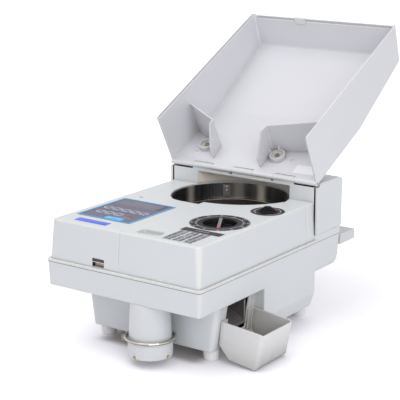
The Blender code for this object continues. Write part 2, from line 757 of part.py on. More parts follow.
def key_holes(z):
    """Cutters for the holes that the keys travel in."""
    return [pad("key_hole", centre, size, KEY_CORNER, z, grow=GAP, steps=1)
            for _, centre, size, _ in key_places()]


def bowl_opening():
    """The bowl's opening in the deck: a circle whose front runs smoothly into a straight edge."""
    points = []
    for x, y in circle(BOWL_X, BOWL_Y, BOWL_RADIUS, BOWL_STEPS):
        points.append((x, BOWL_CHORD_Y + BOWL_BLEND * math.log1p(math.exp((y - BOWL_CHORD_Y) / BOWL_BLEND))))
    return points


def make_upper_housing():
    """The fixed part of the deck, with the panel's pocket and the latch recess."""
    housing = make_deck_shell("upper_housing")
    cut(housing, extrude("bowl_hole", bowl_opening(), CHASSIS_Z - CUT, DECK_Z + CUT))
    cut(housing, seam_region(GAP / 2))
    posts = []
    bottom = board_top()
    for i in (-1, 1):
        for j in (-1, 1):
            x = PANEL_X + i * (PANEL_WIDTH / 2 + BOARD_POST)
            y = PANEL_Y + j * (PANEL_LENGTH / 2 - BOARD_POST)
            posts.append(cylinder("board_post", x, y, BOARD_POST,
                                  (bottom + GAP, DECK_UNDER + WALL / 2), SCREW_STEPS))
    recess_x = (CATCH_X - CATCH_WIDTH / 2, CATCH_X + CATCH_WIDTH / 2)
    pocket_back = DECK_FOOT_INSET + CATCH_DEPTH
    pocket = block("pocket", (recess_x[0] - WALL, recess_x[1] + WALL),
                   (DECK_FOOT_INSET + WALL, pocket_back + WALL), (RIDGE_Z + GAP, CATCH_HIGH_Z + WALL))
    join(housing, pocket, *posts)
    cut(housing, block("recess", recess_x, (-CUT, pocket_back), (CATCH_LOW_Z, CATCH_HIGH_Z)),
        pad("panel_pocket", (PANEL_X, PANEL_Y), (PANEL_WIDTH, PANEL_LENGTH), PANEL_CORNER,
            (DECK_Z - PANEL_POCKET, DECK_Z + CUT), grow=GAP),
        *key_holes((DECK_UNDER - CUT, DECK_Z + CUT)))
    return housing


def dial_seat(x, y, radius):
    """Cutters for a dial: the hole through the deck and the seat of its flange."""
    hole = cylinder("dial_hole", x, y, radius - DIAL_SEAT + GAP, (DECK_UNDER - CUT, DECK_Z + CUT))
    seat = cylinder("dial_seat", x, y, radius + GAP, (DECK_Z - DIAL_FLANGE - GAP, DECK_Z + CUT))
    return [hole, seat]


def make_access_cover():
    """The removable right part of the deck, with its finger recess and dial seats."""
    cover = make_deck_shell("access_cover")
    cut(cover, cylinder("cover_edge", COVER_EDGE_X, COVER_EDGE_Y, COVER_EDGE_RADIUS,
                        (RIDGE_Z - CUT, DECK_Z + CUT), BOWL_STEPS))
    keep(cover, seam_region(-GAP / 2))
    floor = DECK_Z - GRIP_DEPTH - WALL
    cup = pad("grip_cup", (GRIP_X, GRIP_Y), (GRIP_LENGTH, GRIP_WIDTH), GRIP_CORNER,
              (floor, DECK_UNDER + WALL / 2), grow=WALL)
    join(cover, cup)
    well = pad("grip_well", (GRIP_X, GRIP_Y), (GRIP_LENGTH, GRIP_WIDTH), GRIP_CORNER,
               (floor + WALL, DECK_Z + CUT))
    cut(cover, well, *dial_seat(DENOMINATION_X, DENOMINATION_Y, DENOMINATION_RADIUS),
        *dial_seat(THICKNESS_X, THICKNESS_Y, THICKNESS_RADIUS))
    return cover


def make_latch_catch():
    """The bowed brass spring at the back of the latch recess."""
    back = DECK_FOOT_INSET + CATCH_DEPTH - GAP
    half = CATCH_WIDTH / 2 - 2 * GAP
    steps = 2 * ROUND_STEPS
    front = []
    for i in range(steps + 1):
        share = 2 * i / steps - 1
        bow = SPRING_BOW * (1 - share * share)
        front.append((CATCH_X + half * share, back - SPRING_THICK - bow))
    rear = [(x, y + SPRING_THICK) for x, y in reversed(front)]
    low = CATCH_LOW_Z + (CATCH_HIGH_Z - CATCH_LOW_Z) / 4
    return extrude("latch_catch", front + rear, low, CATCH_HIGH_Z - WALL, "z", "brass")


def board_top():
    """Height of the circuit board's upper face, under the keys' travel."""
    return DECK_Z + KEY_PROUD - KEY_TALL - KEY_TRAVEL - GAP


def make_controls():
    """The panel film, its window, ten keys and the circuit board under them."""
    panel_low = DECK_Z - PANEL_POCKET + GAP
    panel_high = panel_low + PANEL_THICK
    panel = pad("control_panel", (PANEL_X, PANEL_Y), (PANEL_WIDTH, PANEL_LENGTH), PANEL_CORNER,
                (panel_low, panel_high), "panel_film")
    window_low = panel_low + GAP
    window_spot = ((PANEL_X, WINDOW_Y), (WINDOW_WIDTH, WINDOW_LENGTH), KEY_CORNER)
    cut(panel, *key_holes((panel_low - CUT, panel_high + CUT)),
        pad("window_seat", *window_spot, (window_low - GAP, panel_high + CUT), grow=GAP))
    pieces = [panel, pad("display_window", *window_spot, (window_low, panel_high), "window_film")]
    for name, centre, size, finish in key_places():
        top = DECK_Z + KEY_PROUD
        key = pad(name, centre, size, KEY_CORNER, (top - KEY_TALL, top), finish, steps=1)
        bevel_where(key, KEY_PROUD / 2, lambda v: v.z > top - MERGE, 1)
        pieces.append(key)
    size = (PANEL_WIDTH + 4 * BOARD_MARGIN, PANEL_LENGTH - 2 * BOARD_MARGIN)
    pieces.append(pad("circuit_board", (PANEL_X, PANEL_Y), size, BOARD_MARGIN / 2,
                      (board_top() - BOARD_THICK, board_top()), "board_green"))
    return pieces


def make_dial(name, x, y, radius, knob, depth):
    """A dial cup, hung by its flange in the deck, open at the top for its knob."""
    top = DECK_Z - DIAL_LINE
    body = radius - DIAL_SEAT
    inner = knob + GAP
    floor = DECK_Z - depth - DIAL_WALL
    profile = [(KNOB_SHAFT + GAP, floor), (body, floor), (body, DECK_Z - DIAL_FLANGE),
               (radius, DECK_Z - DIAL_FLANGE), (radius, top), (inner, top),
               (inner, floor + DIAL_WALL), (KNOB_SHAFT + GAP, floor + DIAL_WALL)]
    return turned(name, profile, x, y, CIRCLE_STEPS, "dial_grey")


def make_dials():
    """Both dials and their knobs."""
    large = make_dial("denomination_dial", DENOMINATION_X, DENOMINATION_Y, DENOMINATION_RADIUS,
                      DENOMINATION_KNOB, DENOMINATION_DEPTH)
    small = make_dial("thickness_dial", THICKNESS_X, THICKNESS_Y, THICKNESS_RADIUS,
                      THICKNESS_KNOB, THICKNESS_DEPTH)
    top = DECK_Z - DIAL_LINE
    low = DECK_Z - DENOMINATION_DEPTH + GAP
    shaft_low = CHASSIS_TOP + RAIL_TALL + 2 * GAP + DIAL_WALL
    lip = DENOMINATION_KNOB - DENOMINATION_DISH
    sunk = turned("denomination_knob", [
        (0, shaft_low), (KNOB_SHAFT, shaft_low), (KNOB_SHAFT, low), (DENOMINATION_KNOB, low),
        (DENOMINATION_KNOB, top), (DENOMINATION_DISH, top),
        (DENOMINATION_DISH - lip / 3, DECK_Z - DISH_DEPTH), (0, DECK_Z - DISH_DEPTH),
    ], DENOMINATION_X, DENOMINATION_Y, CIRCLE_STEPS, "black_plastic")
    reach = DENOMINATION_DISH + CUT / 2
    bar = block("grip_bar", (-reach, reach), (-GRIP_BAR / 2, GRIP_BAR / 2), (DECK_Z - DISH_DEPTH - CUT, top - DIAL_LINE))
    place(bar, DENOMINATION_X, DENOMINATION_Y, GRIP_BAR_ANGLE)
    join(sunk, bar)
    raised_low = DECK_Z - THICKNESS_DEPTH + GAP
    foot = CHASSIS_TOP + GATE_TRAVEL / 2
    raised = turned("thickness_knob", [
        (0, foot), (KNOB_SHAFT, foot), (KNOB_SHAFT, raised_low),
        (THICKNESS_KNOB - GAP, raised_low), (THICKNESS_KNOB - GAP, top), (0, top),
    ], THICKNESS_X, THICKNESS_Y, CIRCLE_STEPS, "black_plastic")
    loops = []
    for up, along, across in KNOB_BAR_SHARES:
        x, y = THICKNESS_KNOB * along, KNOB_BAR * across
        z = top - CUT + (DECK_Z + KNOB_RISE - top + CUT) * up
        loops.append(at_height(rounded((-x, x), (-y, y), (y / 2,) * 4, 2), z))
    ridge = place(loft("ridge", loops), THICKNESS_X, THICKNESS_Y, KNOB_BAR_ANGLE)
    join(raised, ridge)
    return [large, small, sunk, raised]


def opened(y, z):
    """Where a point of the closed tray lies while the tray is open."""
    turn = -math.radians(TRAY_ANGLE)
    dy, dz = y - HINGE_Y, z - HINGE_Z
    return (HINGE_Y + dy * math.cos(turn) - dz * math.sin(turn),
            HINGE_Z + dy * math.sin(turn) + dz * math.cos(turn))


def make_rear_tower():
    """The raised casing behind the bowl, with its curved recess, slots and hinge lugs."""
    low = TOWER_SEAM_Z + GAP
    front = FRONT_DEPTH
    wall_top = HINGE_Z - BARREL_RADIUS - BARREL_DROP
    cove_y = HINGE_Y + COVE
    outline = [(front, low), (TOTAL_DEPTH, low)]
    for k in range(ROUND_STEPS + 1):
        angle = math.radians(90 * k / ROUND_STEPS)
        outline.append((TOTAL_DEPTH - TOWER_ROUND * (1 - math.cos(angle)),
                        TOWER_Z - TOWER_ROUND * (1 - math.sin(angle))))
    outline += [(cove_y, TOWER_Z), (cove_y - BARREL_RADIUS / 2, wall_top), (front, wall_top)]
    tower = extrude("rear_tower", outline, -HALF, HALF, "x", "light_shell")
    bevel_where(tower, CORNER - GAP,
                lambda v: v.y > TOTAL_DEPTH - MERGE and v.z < TOWER_Z - TOWER_ROUND + MERGE)

    inner_top = wall_top - WALL
    hollow_outline = [(front + WALL, low - CUT), (TOTAL_DEPTH - WALL, low - CUT),
                      (TOTAL_DEPTH - WALL, TOWER_Z - TOWER_ROUND),
                      (TOTAL_DEPTH - TOWER_ROUND, TOWER_Z - WALL),
                      (cove_y + WALL, TOWER_Z - WALL), (cove_y, inner_top), (front + WALL, inner_top)]
    side = HALF - CHEEK - SLOT_WIDTH - WALL
    hollow = extrude("tower_hollow", hollow_outline, -side, side, "x")
    keep_out = cylinder("recess_wall", BOWL_X, BOWL_Y, BOWL_RADIUS + WALL,
                        (low - 2 * CUT, RECESS_Z + WALL), BOWL_STEPS)
    cut(hollow, keep_out)
    wide = block("side_hollow", (-HALF + CHEEK, HALF - CHEEK),
                 (front + SLOT_DEPTH + WALL, TOTAL_DEPTH - CORNER), (low - CUT, TOWER_Z - TOWER_ROUND))
    join(hollow, cut(wide, cylinder("recess_wall", BOWL_X, BOWL_Y, BOWL_RADIUS + WALL,
                                    (low - 2 * CUT, RECESS_Z + WALL), BOWL_STEPS)))
    cut(tower, hollow, cylinder("recess", BOWL_X, BOWL_Y, BOWL_RADIUS, (low - CUT, RECESS_Z), BOWL_STEPS))
    for sign in (-1, 1):
        edges = sorted((sign * (HALF - CHEEK), sign * (HALF - CHEEK - SLOT_WIDTH)))
        cut(tower, block("slot", edges, (front - CUT, front + SLOT_DEPTH), (low - CUT, TOWER_Z + CUT)))

    slant = (HINGE_Z - BARREL_RADIUS - TRAY_INNER_Z) / RAMP_LENGTH
    flat = HINGE_Z - BARREL_RADIUS - slant * TONGUE_REACH
    tongue = [opened(y, z) for y, z in ((HINGE_Y, HINGE_Z - BARREL_RADIUS), (HINGE_Y - TONGUE_REACH, flat),
                                        (HINGE_Y - TONGUE_REACH, flat + TONGUE_THICK / 2),
                                        (HINGE_Y, HINGE_Z - BARREL_RADIUS + TONGUE_THICK))]
    lugs = []
    for x in LUG_CENTRES:
        span = (x - LUG_WIDTH / 2 + LUG_GAP, x + LUG_WIDTH / 2 - LUG_GAP)
        round_part = circle(HINGE_Y, HINGE_Z, BARREL_RADIUS, SMALL_STEPS)
        lug = extrude("lug", round_part, span[0], span[1], "x")
        web = block("web", span, (HINGE_Y - BARREL_RADIUS + GAP, HINGE_Y + BARREL_RADIUS - GAP),
                    (wall_top - WALL / 2, HINGE_Z))
        keep(web, block("front_trim", (-WIDTH, WIDTH), (front, TOTAL_DEPTH), (low, TOWER_Z + WALL)))
        lugs.append(join(lug, web, extrude("tongue", tongue, span[0], span[1], "x")))
    join(tower, *lugs)
    bore = extrude("pin_bore", circle(HINGE_Y, HINGE_Z, PIN_RADIUS + GAP / 2, SCREW_STEPS), -HALF, HALF, "x")
    return cut(tower, bore)


def make_rear_ledge():
    """The slab behind the base, hollow and ribbed from below."""
    y = (TOTAL_DEPTH, TOTAL_DEPTH + LEDGE_DEPTH)
    outline = [(rear_face(LEDGE_LOW_Z) + GAP, LEDGE_LOW_Z), (y[1], LEDGE_LOW_Z), (y[1], LEDGE_HIGH_Z),
               (rear_face(LEDGE_HIGH_Z) + GAP, LEDGE_HIGH_Z)]
    ledge = extrude("rear_ledge", outline, -HALF, HALF, "x", "light_shell")
    bevel_where(ledge, LEDGE_ROUND, lambda v: v.y > y[1] - MERGE)
    bays = len(LUG_CENTRES) + 1
    pitch = (WIDTH - WALL) / bays
    for i in range(bays):
        low = -HALF + WALL + pitch * i
        cut(ledge, block("bay", (low, low + pitch - WALL), (y[0] + WALL, y[1] - LEDGE_ROUND - WALL),
                         (LEDGE_LOW_Z - CUT, LEDGE_HIGH_Z - WALL)))
    return ledge


def tray_outline(inset, front_z):
    """The closed tray's side profile in y and z, from the front rim round to the hinge."""
    slope = (TRAY_FLOOR_Z - TRAY_FRONT_Z) / (TRAY_KINK_Y - TRAY_FRONT_LEAN)
    return [(inset - TRAY_FRONT_OVER, TRAY_RIM_Z), (TRAY_FRONT_LEAN + inset, front_z - inset * (1 - slope)),
            (TRAY_KINK_Y, TRAY_FLOOR_Z - inset)]


def tray_half(z, inset):
    """Half the tray's width at a height, drawn in towards its floor."""
    share = (z - TRAY_RIM_Z) / (TRAY_FLOOR_Z - TRAY_RIM_Z)
    return HALF - inset - TRAY_DRAFT * share


def tray_solid(name, outline, inset, finish=None):
    """A solid of a side profile whose sides lean with the tray's draft."""
    sides = [[(sign * tray_half(z, inset), y, z) for y, z in outline] for sign in (-1, 1)]
    return loft(name, sides, finish)


def make_tray_pan():
    """The tray: a deep lid with a raised rear floor, open at its hinge side."""
    front = tray_outline(0.0, TRAY_FRONT_Z)
    outer = front + [(HINGE_Y, TRAY_FLOOR_Z), (HINGE_Y, TRAY_RIM_Z)]
    tray = tray_solid("tray_pan", outer, 0.0, "tray_shell")
    bevel_where(tray, CORNER, lambda v: v.y < TRAY_FRONT_LEAN + MERGE, 4)
    inside = tray_outline(TRAY_WALL, TRAY_FRONT_Z)
    over = TRAY_RIM_Z - CUT
    inner = [(inside[0][0], over)] + inside[1:] + [(HINGE_Y + WIDTH, TRAY_INNER_Z),
                                                  (HINGE_Y + WIDTH, over)]
    hollow = tray_solid("tray_hollow", inner, TRAY_WALL)
    bevel_where(hollow, CORNER - TRAY_WALL, lambda v: v.y < TRAY_FRONT_LEAN + TRAY_WALL + MERGE, 4)
    step_x = HALF - RIM_STEP
    step = loft("rim_step", [at_height(rounded((-step_x, step_x), (RIM_STEP - TRAY_FRONT_OVER, HINGE_Y + WIDTH),
                                               (CORNER - RIM_STEP, CORNER - RIM_STEP, 0.001, 0.001)), z)
                             for z in (over, TRAY_RIM_Z + RIM_STEP_HEIGHT)])
    cut(tray, hollow, step)

    barrel = extrude("barrel", circle(HINGE_Y, HINGE_Z, BARREL_RADIUS, SMALL_STEPS),
                     -tray_half(HINGE_Z, 0.0), tray_half(HINGE_Z, 0.0), "x")
    pegs = [cylinder("peg", x, y, PEG_RADIUS, (TRAY_INNER_Z - PEG_HEIGHT, TRAY_INNER_Z + TRAY_WALL / 2),
                     SCREW_STEPS) for x, y in (LEFT_PEG, RIGHT_PEG)]
    middle = TRAY_INNER_Z + TRAY_WALL / 2
    ramp = extrude("ramp", [(HINGE_Y - RAMP_LENGTH, middle), (HINGE_Y - RAMP_LENGTH, TRAY_INNER_Z),
                            (HINGE_Y, HINGE_Z - BARREL_RADIUS), (HINGE_Y, middle)],
                   -tray_half(HINGE_Z, 0.0), tray_half(HINGE_Z, 0.0), "x")
    join(tray, ramp, barrel, *pegs)
    reach = HINGE_Y - BARREL_RADIUS - NOTCH_REACH
    for x in LUG_CENTRES:
        cut(tray, block("notch", (x - LUG_WIDTH / 2, x + LUG_WIDTH / 2),
                        (reach, HINGE_Y + 2 * BARREL_RADIUS),
                        (HINGE_Z - 2 * BARREL_RADIUS, HINGE_Z + 2 * BARREL_RADIUS)))
    bore = extrude("pin_bore", circle(HINGE_Y, HINGE_Z, PIN_RADIUS + GAP, SCREW_STEPS), -HALF - CUT, HALF + CUT, "x")
    holes = [cylinder("screw_hole", x, y, SCREW_SHANK + GAP, (TRAY_INNER_Z - CUT, TRAY_FLOOR_Z + CUT), SCREW_STEPS)
             for x, y in (LEFT_BOSS, RIGHT_BOSS)]
    return cut(tray, bore, *holes)


def make_hinge_pin():
    """The steel pin through the lugs and the tray's barrel."""
    half = tray_half(HINGE_Z, 0.0) - GAP
    return extrude("hinge_pin", circle(HINGE_Y, HINGE_Z, PIN_RADIUS, SCREW_STEPS), -half, half, "x", "steel")


def guide_plate(start, end, profile, top):
    """An upright plate between two points in plan, with a profile of share along and depth."""
    a, b = Vector((*start, 0)), Vector((*end, 0))
    across = (b - a).normalized().cross(Vector((0, 0, 1))) * GUIDE_WALL / 2
    return loft("plate", [[a + (b - a) * along + across * side + Vector((0, 0, top - deep))
                           for along, deep in profile] for side in (-1, 1)])


def guide_fin(plate_start, plate_end, boss, top):
    """A rib that slopes from a plate down to the rim of the boss."""
    a, b, centre = Vector(plate_start), Vector(plate_end), Vector(boss)
    run = b - a
    share = (centre - a).dot(run) / run.length_squared
    foot = a + run * min(max(share, FIN_REACH_SHARES[0]), FIN_REACH_SHARES[1])
    side = (centre - foot).orthogonal().normalized() * FIN_THICK / 2
    loops = []
    for place, deep in ((foot, FIN_TALL), (centre, BOSS_TALL)):
        ends = (place + side, place - side)
        loops.append([(*ends[0], top - deep), (*ends[1], top - deep), (*ends[1], top), (*ends[0], top)])
    return loft("fin", loops)


def make_coin_guide(name, places, boss):
    """An angled pair of plates that hangs from the closed tray's floor, with a screw boss."""
    wall_end, corner, mouth_end = places
    top = TRAY_INNER_Z - GAP
    guide = guide_plate(wall_end, corner, [(0, 0), (0, GUIDE_TALL_WALL), (1, GUIDE_TALL_CORNER), (1, 0)], top)
    guide.name = name
    guide.data.materials.append(bpy.data.materials["tray_shell"])
    mouth = guide_plate(corner, mouth_end,
                        [(along, deep * GUIDE_TALL_CORNER) for along, deep in MOUTH_PLATE_SHARES], top)
    post = cylinder("corner_post", corner[0], corner[1], GUIDE_WALL / 2,
                    (top - GUIDE_TALL_CORNER, top), SCREW_STEPS)
    stud = cylinder("boss", boss[0], boss[1], BOSS_RADIUS, (top - BOSS_TALL, top), SMALL_STEPS)
    join(guide, mouth, post, stud, guide_fin(wall_end, corner, boss, top),
         guide_fin(mouth_end, corner, boss, top))
    well = cylinder("well", boss[0], boss[1], BOSS_RECESS,
                    (top - FIN_TALL - CUT, top - BOSS_TALL + BOSS_RECESS_DEPTH), SMALL_STEPS)
    hole = cylinder("hole", boss[0], boss[1], SCREW_SHANK + GAP, (top - BOSS_TALL - CUT, top + CUT),
                    SCREW_STEPS)
    return cut(guide, well, hole)


def make_guide_screw(name, boss):
    """A slotted brass screw, seated in the boss and running into the tray's floor."""
    seat = TRAY_INNER_Z - GAP - BOSS_TALL + BOSS_RECESS_DEPTH - GAP
    head = seat - SCREW_HEAD_TALL
    profile = [(0, head), (SCREW_HEAD - DIAL_LINE, head), (SCREW_HEAD, head + DIAL_LINE), (SCREW_HEAD, seat),
               (SCREW_SHANK, seat), (SCREW_SHANK, TRAY_FLOOR_Z - GAP), (0, TRAY_FLOOR_Z - GAP)]
    screw = turned(name, profile, boss[0], boss[1], SCREW_STEPS, "brass")
    return cut(screw, block("slot", (boss[0] - SCREW_HEAD - CUT, boss[0] + SCREW_HEAD + CUT),
                            (boss[1] - SCREW_SLOT / 2, boss[1] + SCREW_SLOT / 2),
                            (head - CUT, head + SCREW_HEAD_TALL / 2)))


def make_tray_latch():
    """The tab inside the tray's front rim that meets the catch."""
    slope = (TRAY_FRONT_LEAN + TRAY_FRONT_OVER) / (TRAY_FRONT_Z - TRAY_RIM_Z)
    low = TRAY_RIM_Z + RIM_STEP_HEIGHT / 3
    y = TRAY_WALL - TRAY_FRONT_OVER + GAP + slope * (low - TRAY_RIM_Z)
    lean = slope * LATCH_TALL
    outline = [(y, low), (y + LATCH_THICK, low + LATCH_THICK / 2),
               (y + LATCH_THICK + lean, low + LATCH_TALL), (y + lean, low + LATCH_TALL)]
    return extrude("tray_latch", outline, CATCH_X - LATCH_WIDTH / 2, CATCH_X + LATCH_WIDTH / 2,
                   "x", "tray_shell")


def make_bowl():
    """The steel wall of the bowl, open where coins leave it, and the strap at its back."""
    inner = RING_OUTER - RING_THICK
    ring = turned("bowl_ring", [(inner, RING_LOW_Z), (RING_OUTER, RING_LOW_Z), (RING_OUTER, RING_HIGH_Z),
                                (inner, RING_HIGH_Z)], BOWL_X, BOWL_Y, BOWL_STEPS, "steel")
    exit_side = [(BOWL_X, BOWL_Y)]
    for degrees in np.linspace(EXIT_START, EXIT_END, ROUND_STEPS):
        angle = math.radians(degrees)
        exit_side.append((BOWL_X + WIDTH * math.cos(angle), BOWL_Y + WIDTH * math.sin(angle)))
    cut(ring, extrude("exit", exit_side, RING_LOW_Z - CUT, RING_HIGH_Z + CUT))
    half = STRAP_WIDTH / 2
    reach = math.sqrt(inner ** 2 - half ** 2) - 2 * GAP
    strap = block("ring_strap", (-half, half), (reach - STRAP_HEAD / 2, reach),
                  (RIVET_Z - STRAP_WIDTH, RIVET_Z + half), "steel")
    for sign in (-1, 1):
        head = extrude("rivet", circle(0, RIVET_Z + sign * RIVET_PITCH / 2, STRAP_HEAD, SCREW_STEPS),
                       reach - STRAP_HEAD, reach - STRAP_HEAD / 4, "y")
        join(strap, head)
    strap.data.transform(Matrix.Translation((BOWL_X, BOWL_Y, 0))
                         @ Matrix.Rotation(math.radians(STRAP_ANGLE - 90), 4, "Z"))
    return [ring, strap]


def make_disc_group():
    """The coin disc with its cap, shaft and pulley, which turn together."""
    rim = DISC_RADIUS - DISC_RIM
    disc = turned("coin_disc", [
        (SHAFT_RADIUS + GAP, DISC_LOW_Z), (DISC_RADIUS, DISC_LOW_Z), (DISC_RADIUS, DISC_TOP),
        (rim, DISC_TOP), (rim - DISC_STEP, DISC_TOP - DISC_STEP), (SHAFT_RADIUS + GAP, DISC_TOP - DISC_STEP),
    ], BOWL_X, BOWL_Y, CIRCLE_STEPS, "dark_rubber")
    cap_low = DISC_TOP - DISC_STEP + GAP
    shaft_top = cap_low + CAP_TALL / 2
    cap = turned("disc_cap", [
        (0, shaft_top + GAP), (SHAFT_RADIUS + GAP, shaft_top + GAP), (SHAFT_RADIUS + GAP, cap_low),
        (CAP_RADIUS, cap_low), (CAP_RADIUS - CAP_TALL / 3, cap_low + CAP_TALL * 2 / 3),
        (CAP_RADIUS / 2, cap_low + CAP_TALL), (0, cap_low + CAP_TALL),
    ], BOWL_X, BOWL_Y, SMALL_STEPS, "steel")
    shaft = cylinder("disc_shaft", BOWL_X, BOWL_Y, SHAFT_RADIUS,
                     (PULLEY_Z - PULLEY_FLANGE, shaft_top), SMALL_STEPS, "steel")
    pulley = make_pulley("disc_pulley", BOWL_X, BOWL_Y, PULLEY_RADIUS, SHAFT_RADIUS + GAP)
    return [disc, cap, shaft, pulley]


def make_pulley(name, x, y, radius, bore):
    """A flanged belt pulley, or a solid one with its own shaft where the bore is nil."""
    high = PULLEY_Z + PULLEY_TALL
    flange = radius + BELT_THICK + PULLEY_FLANGE
    profile = [(bore, PULLEY_Z), (flange, PULLEY_Z), (flange, PULLEY_Z + PULLEY_FLANGE),
               (radius, PULLEY_Z + PULLEY_FLANGE), (radius, high - PULLEY_FLANGE),
               (flange, high - PULLEY_FLANGE), (flange, high), (bore, high)]
    if not bore:
        low = PLATE_TOP + MOTOR_TALL - PULLEY_TALL
        profile = [(0, low), (MOTOR_SHAFT, low), (MOTOR_SHAFT, PULLEY_Z)] + profile[1:]
    return turned(name, profile, x, y, SMALL_STEPS, "black_plastic")


def belt_outline(offset):
    """The belt's path round both pulleys, as the outer tangents of two circles."""
    large, small = Vector((BOWL_X, BOWL_Y)), Vector((MOTOR_X, MOTOR_Y))
    run = small - large
    heading = math.atan2(run.y, run.x)
    spread = math.acos((PULLEY_RADIUS - MOTOR_PULLEY) / run.length)
    points = []
    for centre, radius, start, end in (
            (large, PULLEY_RADIUS, heading + spread, heading - spread + 2 * math.pi),
            (small, MOTOR_PULLEY, heading - spread, heading + spread)):
        for angle in np.linspace(start, end, SMALL_STEPS):
            points.append((centre.x + (radius + offset) * math.cos(angle),
                           centre.y + (radius + offset) * math.sin(angle)))
    return points


def make_belt():
    """The flat belt between the motor's pulley and the disc's."""
    z = (PULLEY_Z + PULLEY_FLANGE + GAP, PULLEY_Z + PULLEY_TALL - PULLEY_FLANGE - GAP)
    belt = extrude("drive_belt", belt_outline(GAP + BELT_THICK), z[0], z[1], "z", "dark_rubber")
    return cut(belt, extrude("belt_inside", belt_outline(GAP), z[0] - CUT, z[1] + CUT, "z"))


def make_motor():
    """The motor on the base plate and its pulley, whose shaft sits in it."""
    low = PLATE_TOP + GAP
    high = low + MOTOR_TALL
    bore = MOTOR_SHAFT + GAP
    motor = turned("motor", [
        (0, low), (MOTOR_RADIUS + WALL, low), (MOTOR_RADIUS + WALL, low + WALL), (MOTOR_RADIUS, low + WALL),
        (MOTOR_RADIUS, high - WALL), (MOTOR_RADIUS - WALL, high), (bore, high),
        (bore, high - 2 * PULLEY_TALL), (0, high - 2 * PULLEY_TALL),
    ], MOTOR_X, MOTOR_Y, SMALL_STEPS, "zinc_plate")
    return [motor, make_pulley("motor_pulley", MOTOR_X, MOTOR_Y, MOTOR_PULLEY, 0.0)]


def make_chassis():
    """The steel plate under the disc, its posts on the ridge's shelf and the shaft's bearing."""
    half = HALF - DECK_INSET_X - WALL - CHASSIS_MARGIN
    rear = FRONT_DEPTH - REAR_JOINT - WALL - CHASSIS_MARGIN
    plate = block("chassis_plate", (-half, half), (CHASSIS_FRONT, rear), (CHASSIS_Z, CHASSIS_TOP), "zinc_plate")
    join(plate, cylinder("round", BOWL_X, BOWL_Y, RING_OUTER - GAP, (CHASSIS_Z, CHASSIS_TOP), BOWL_STEPS))
    for x in (-half + POST_RADIUS, half - POST_RADIUS):
        for y in (CHASSIS_FRONT + 2 * POST_RADIUS, rear - 2 * POST_RADIUS):
            join(plate, cylinder("post", x, y, POST_RADIUS, (RIDGE_Z + GAP, CHASSIS_Z + CHASSIS_THICK / 2), SCREW_STEPS))
    reach = PULLEY_RADIUS / 2
    cut(plate, cylinder("shaft_hole", BOWL_X, BOWL_Y, SHAFT_RADIUS + DIAL_WALL,
                        (CHASSIS_Z - CUT, CHASSIS_TOP + CUT), SMALL_STEPS),
        block("outlet_gap", (OUTLET_X - reach, OUTLET_X + reach), (OUTLET_Y - reach / 2, OUTLET_Y + reach),
              (CHASSIS_Z - CUT, CHASSIS_TOP + CUT)))
    high = CHASSIS_Z - GAP
    low = high - BEARING_TALL
    neck = SHAFT_RADIUS + 2 * DIAL_WALL
    bearing = turned("shaft_bearing", [
        (SHAFT_RADIUS + GAP, low), (neck, low), (neck, high - WALL), (BEARING_RADIUS, high - WALL),
        (BEARING_RADIUS, high), (SHAFT_RADIUS + GAP, high),
    ], BOWL_X, BOWL_Y, SMALL_STEPS, "zinc_plate")
    return [plate, bearing]


def make_coin_path():
    """The movable rail, the thickness gate and the sensor bridge over the path."""
    low = CHASSIS_TOP + GAP
    rail = block("coin_rail", (RAIL_X - RAIL_WIDTH / 2, RAIL_X + RAIL_WIDTH / 2), (RAIL_FRONT, RAIL_REAR),
                 (low, low + RAIL_TALL), "steel")
    bevel_where(rail, RAIL_WIDTH / 4, lambda v: v.z > low + RAIL_TALL - MERGE, 1)
    gate_low = DISC_TOP + GATE_LIFT
    gate = pad("thickness_gate", (THICKNESS_X, THICKNESS_Y), GATE_SIZE[:2], KEY_CORNER,
               (gate_low, gate_low + GATE_SIZE[2]), "steel")
    cut(gate, cylinder("shaft_hole", THICKNESS_X, THICKNESS_Y, KNOB_SHAFT + GAP,
                       (gate_low - CUT, gate_low + GATE_SIZE[2] + CUT), SMALL_STEPS))
    x = (SENSOR_X - SENSOR_SPAN / 2, SENSOR_X + SENSOR_SPAN / 2)
    y = (SENSOR_Y - SENSOR_WIDTH, SENSOR_Y)
    sensor = block("count_sensor", x, y, (low, low + SENSOR_TALL), "black_plastic")
    cut(sensor, block("path", (x[0] + SENSOR_WALL, x[1] - SENSOR_WALL), (y[0] - CUT, y[1] + CUT),
                      (low - CUT, low + SENSOR_TALL - SENSOR_WALL)))
    return [rail, gate, sensor]


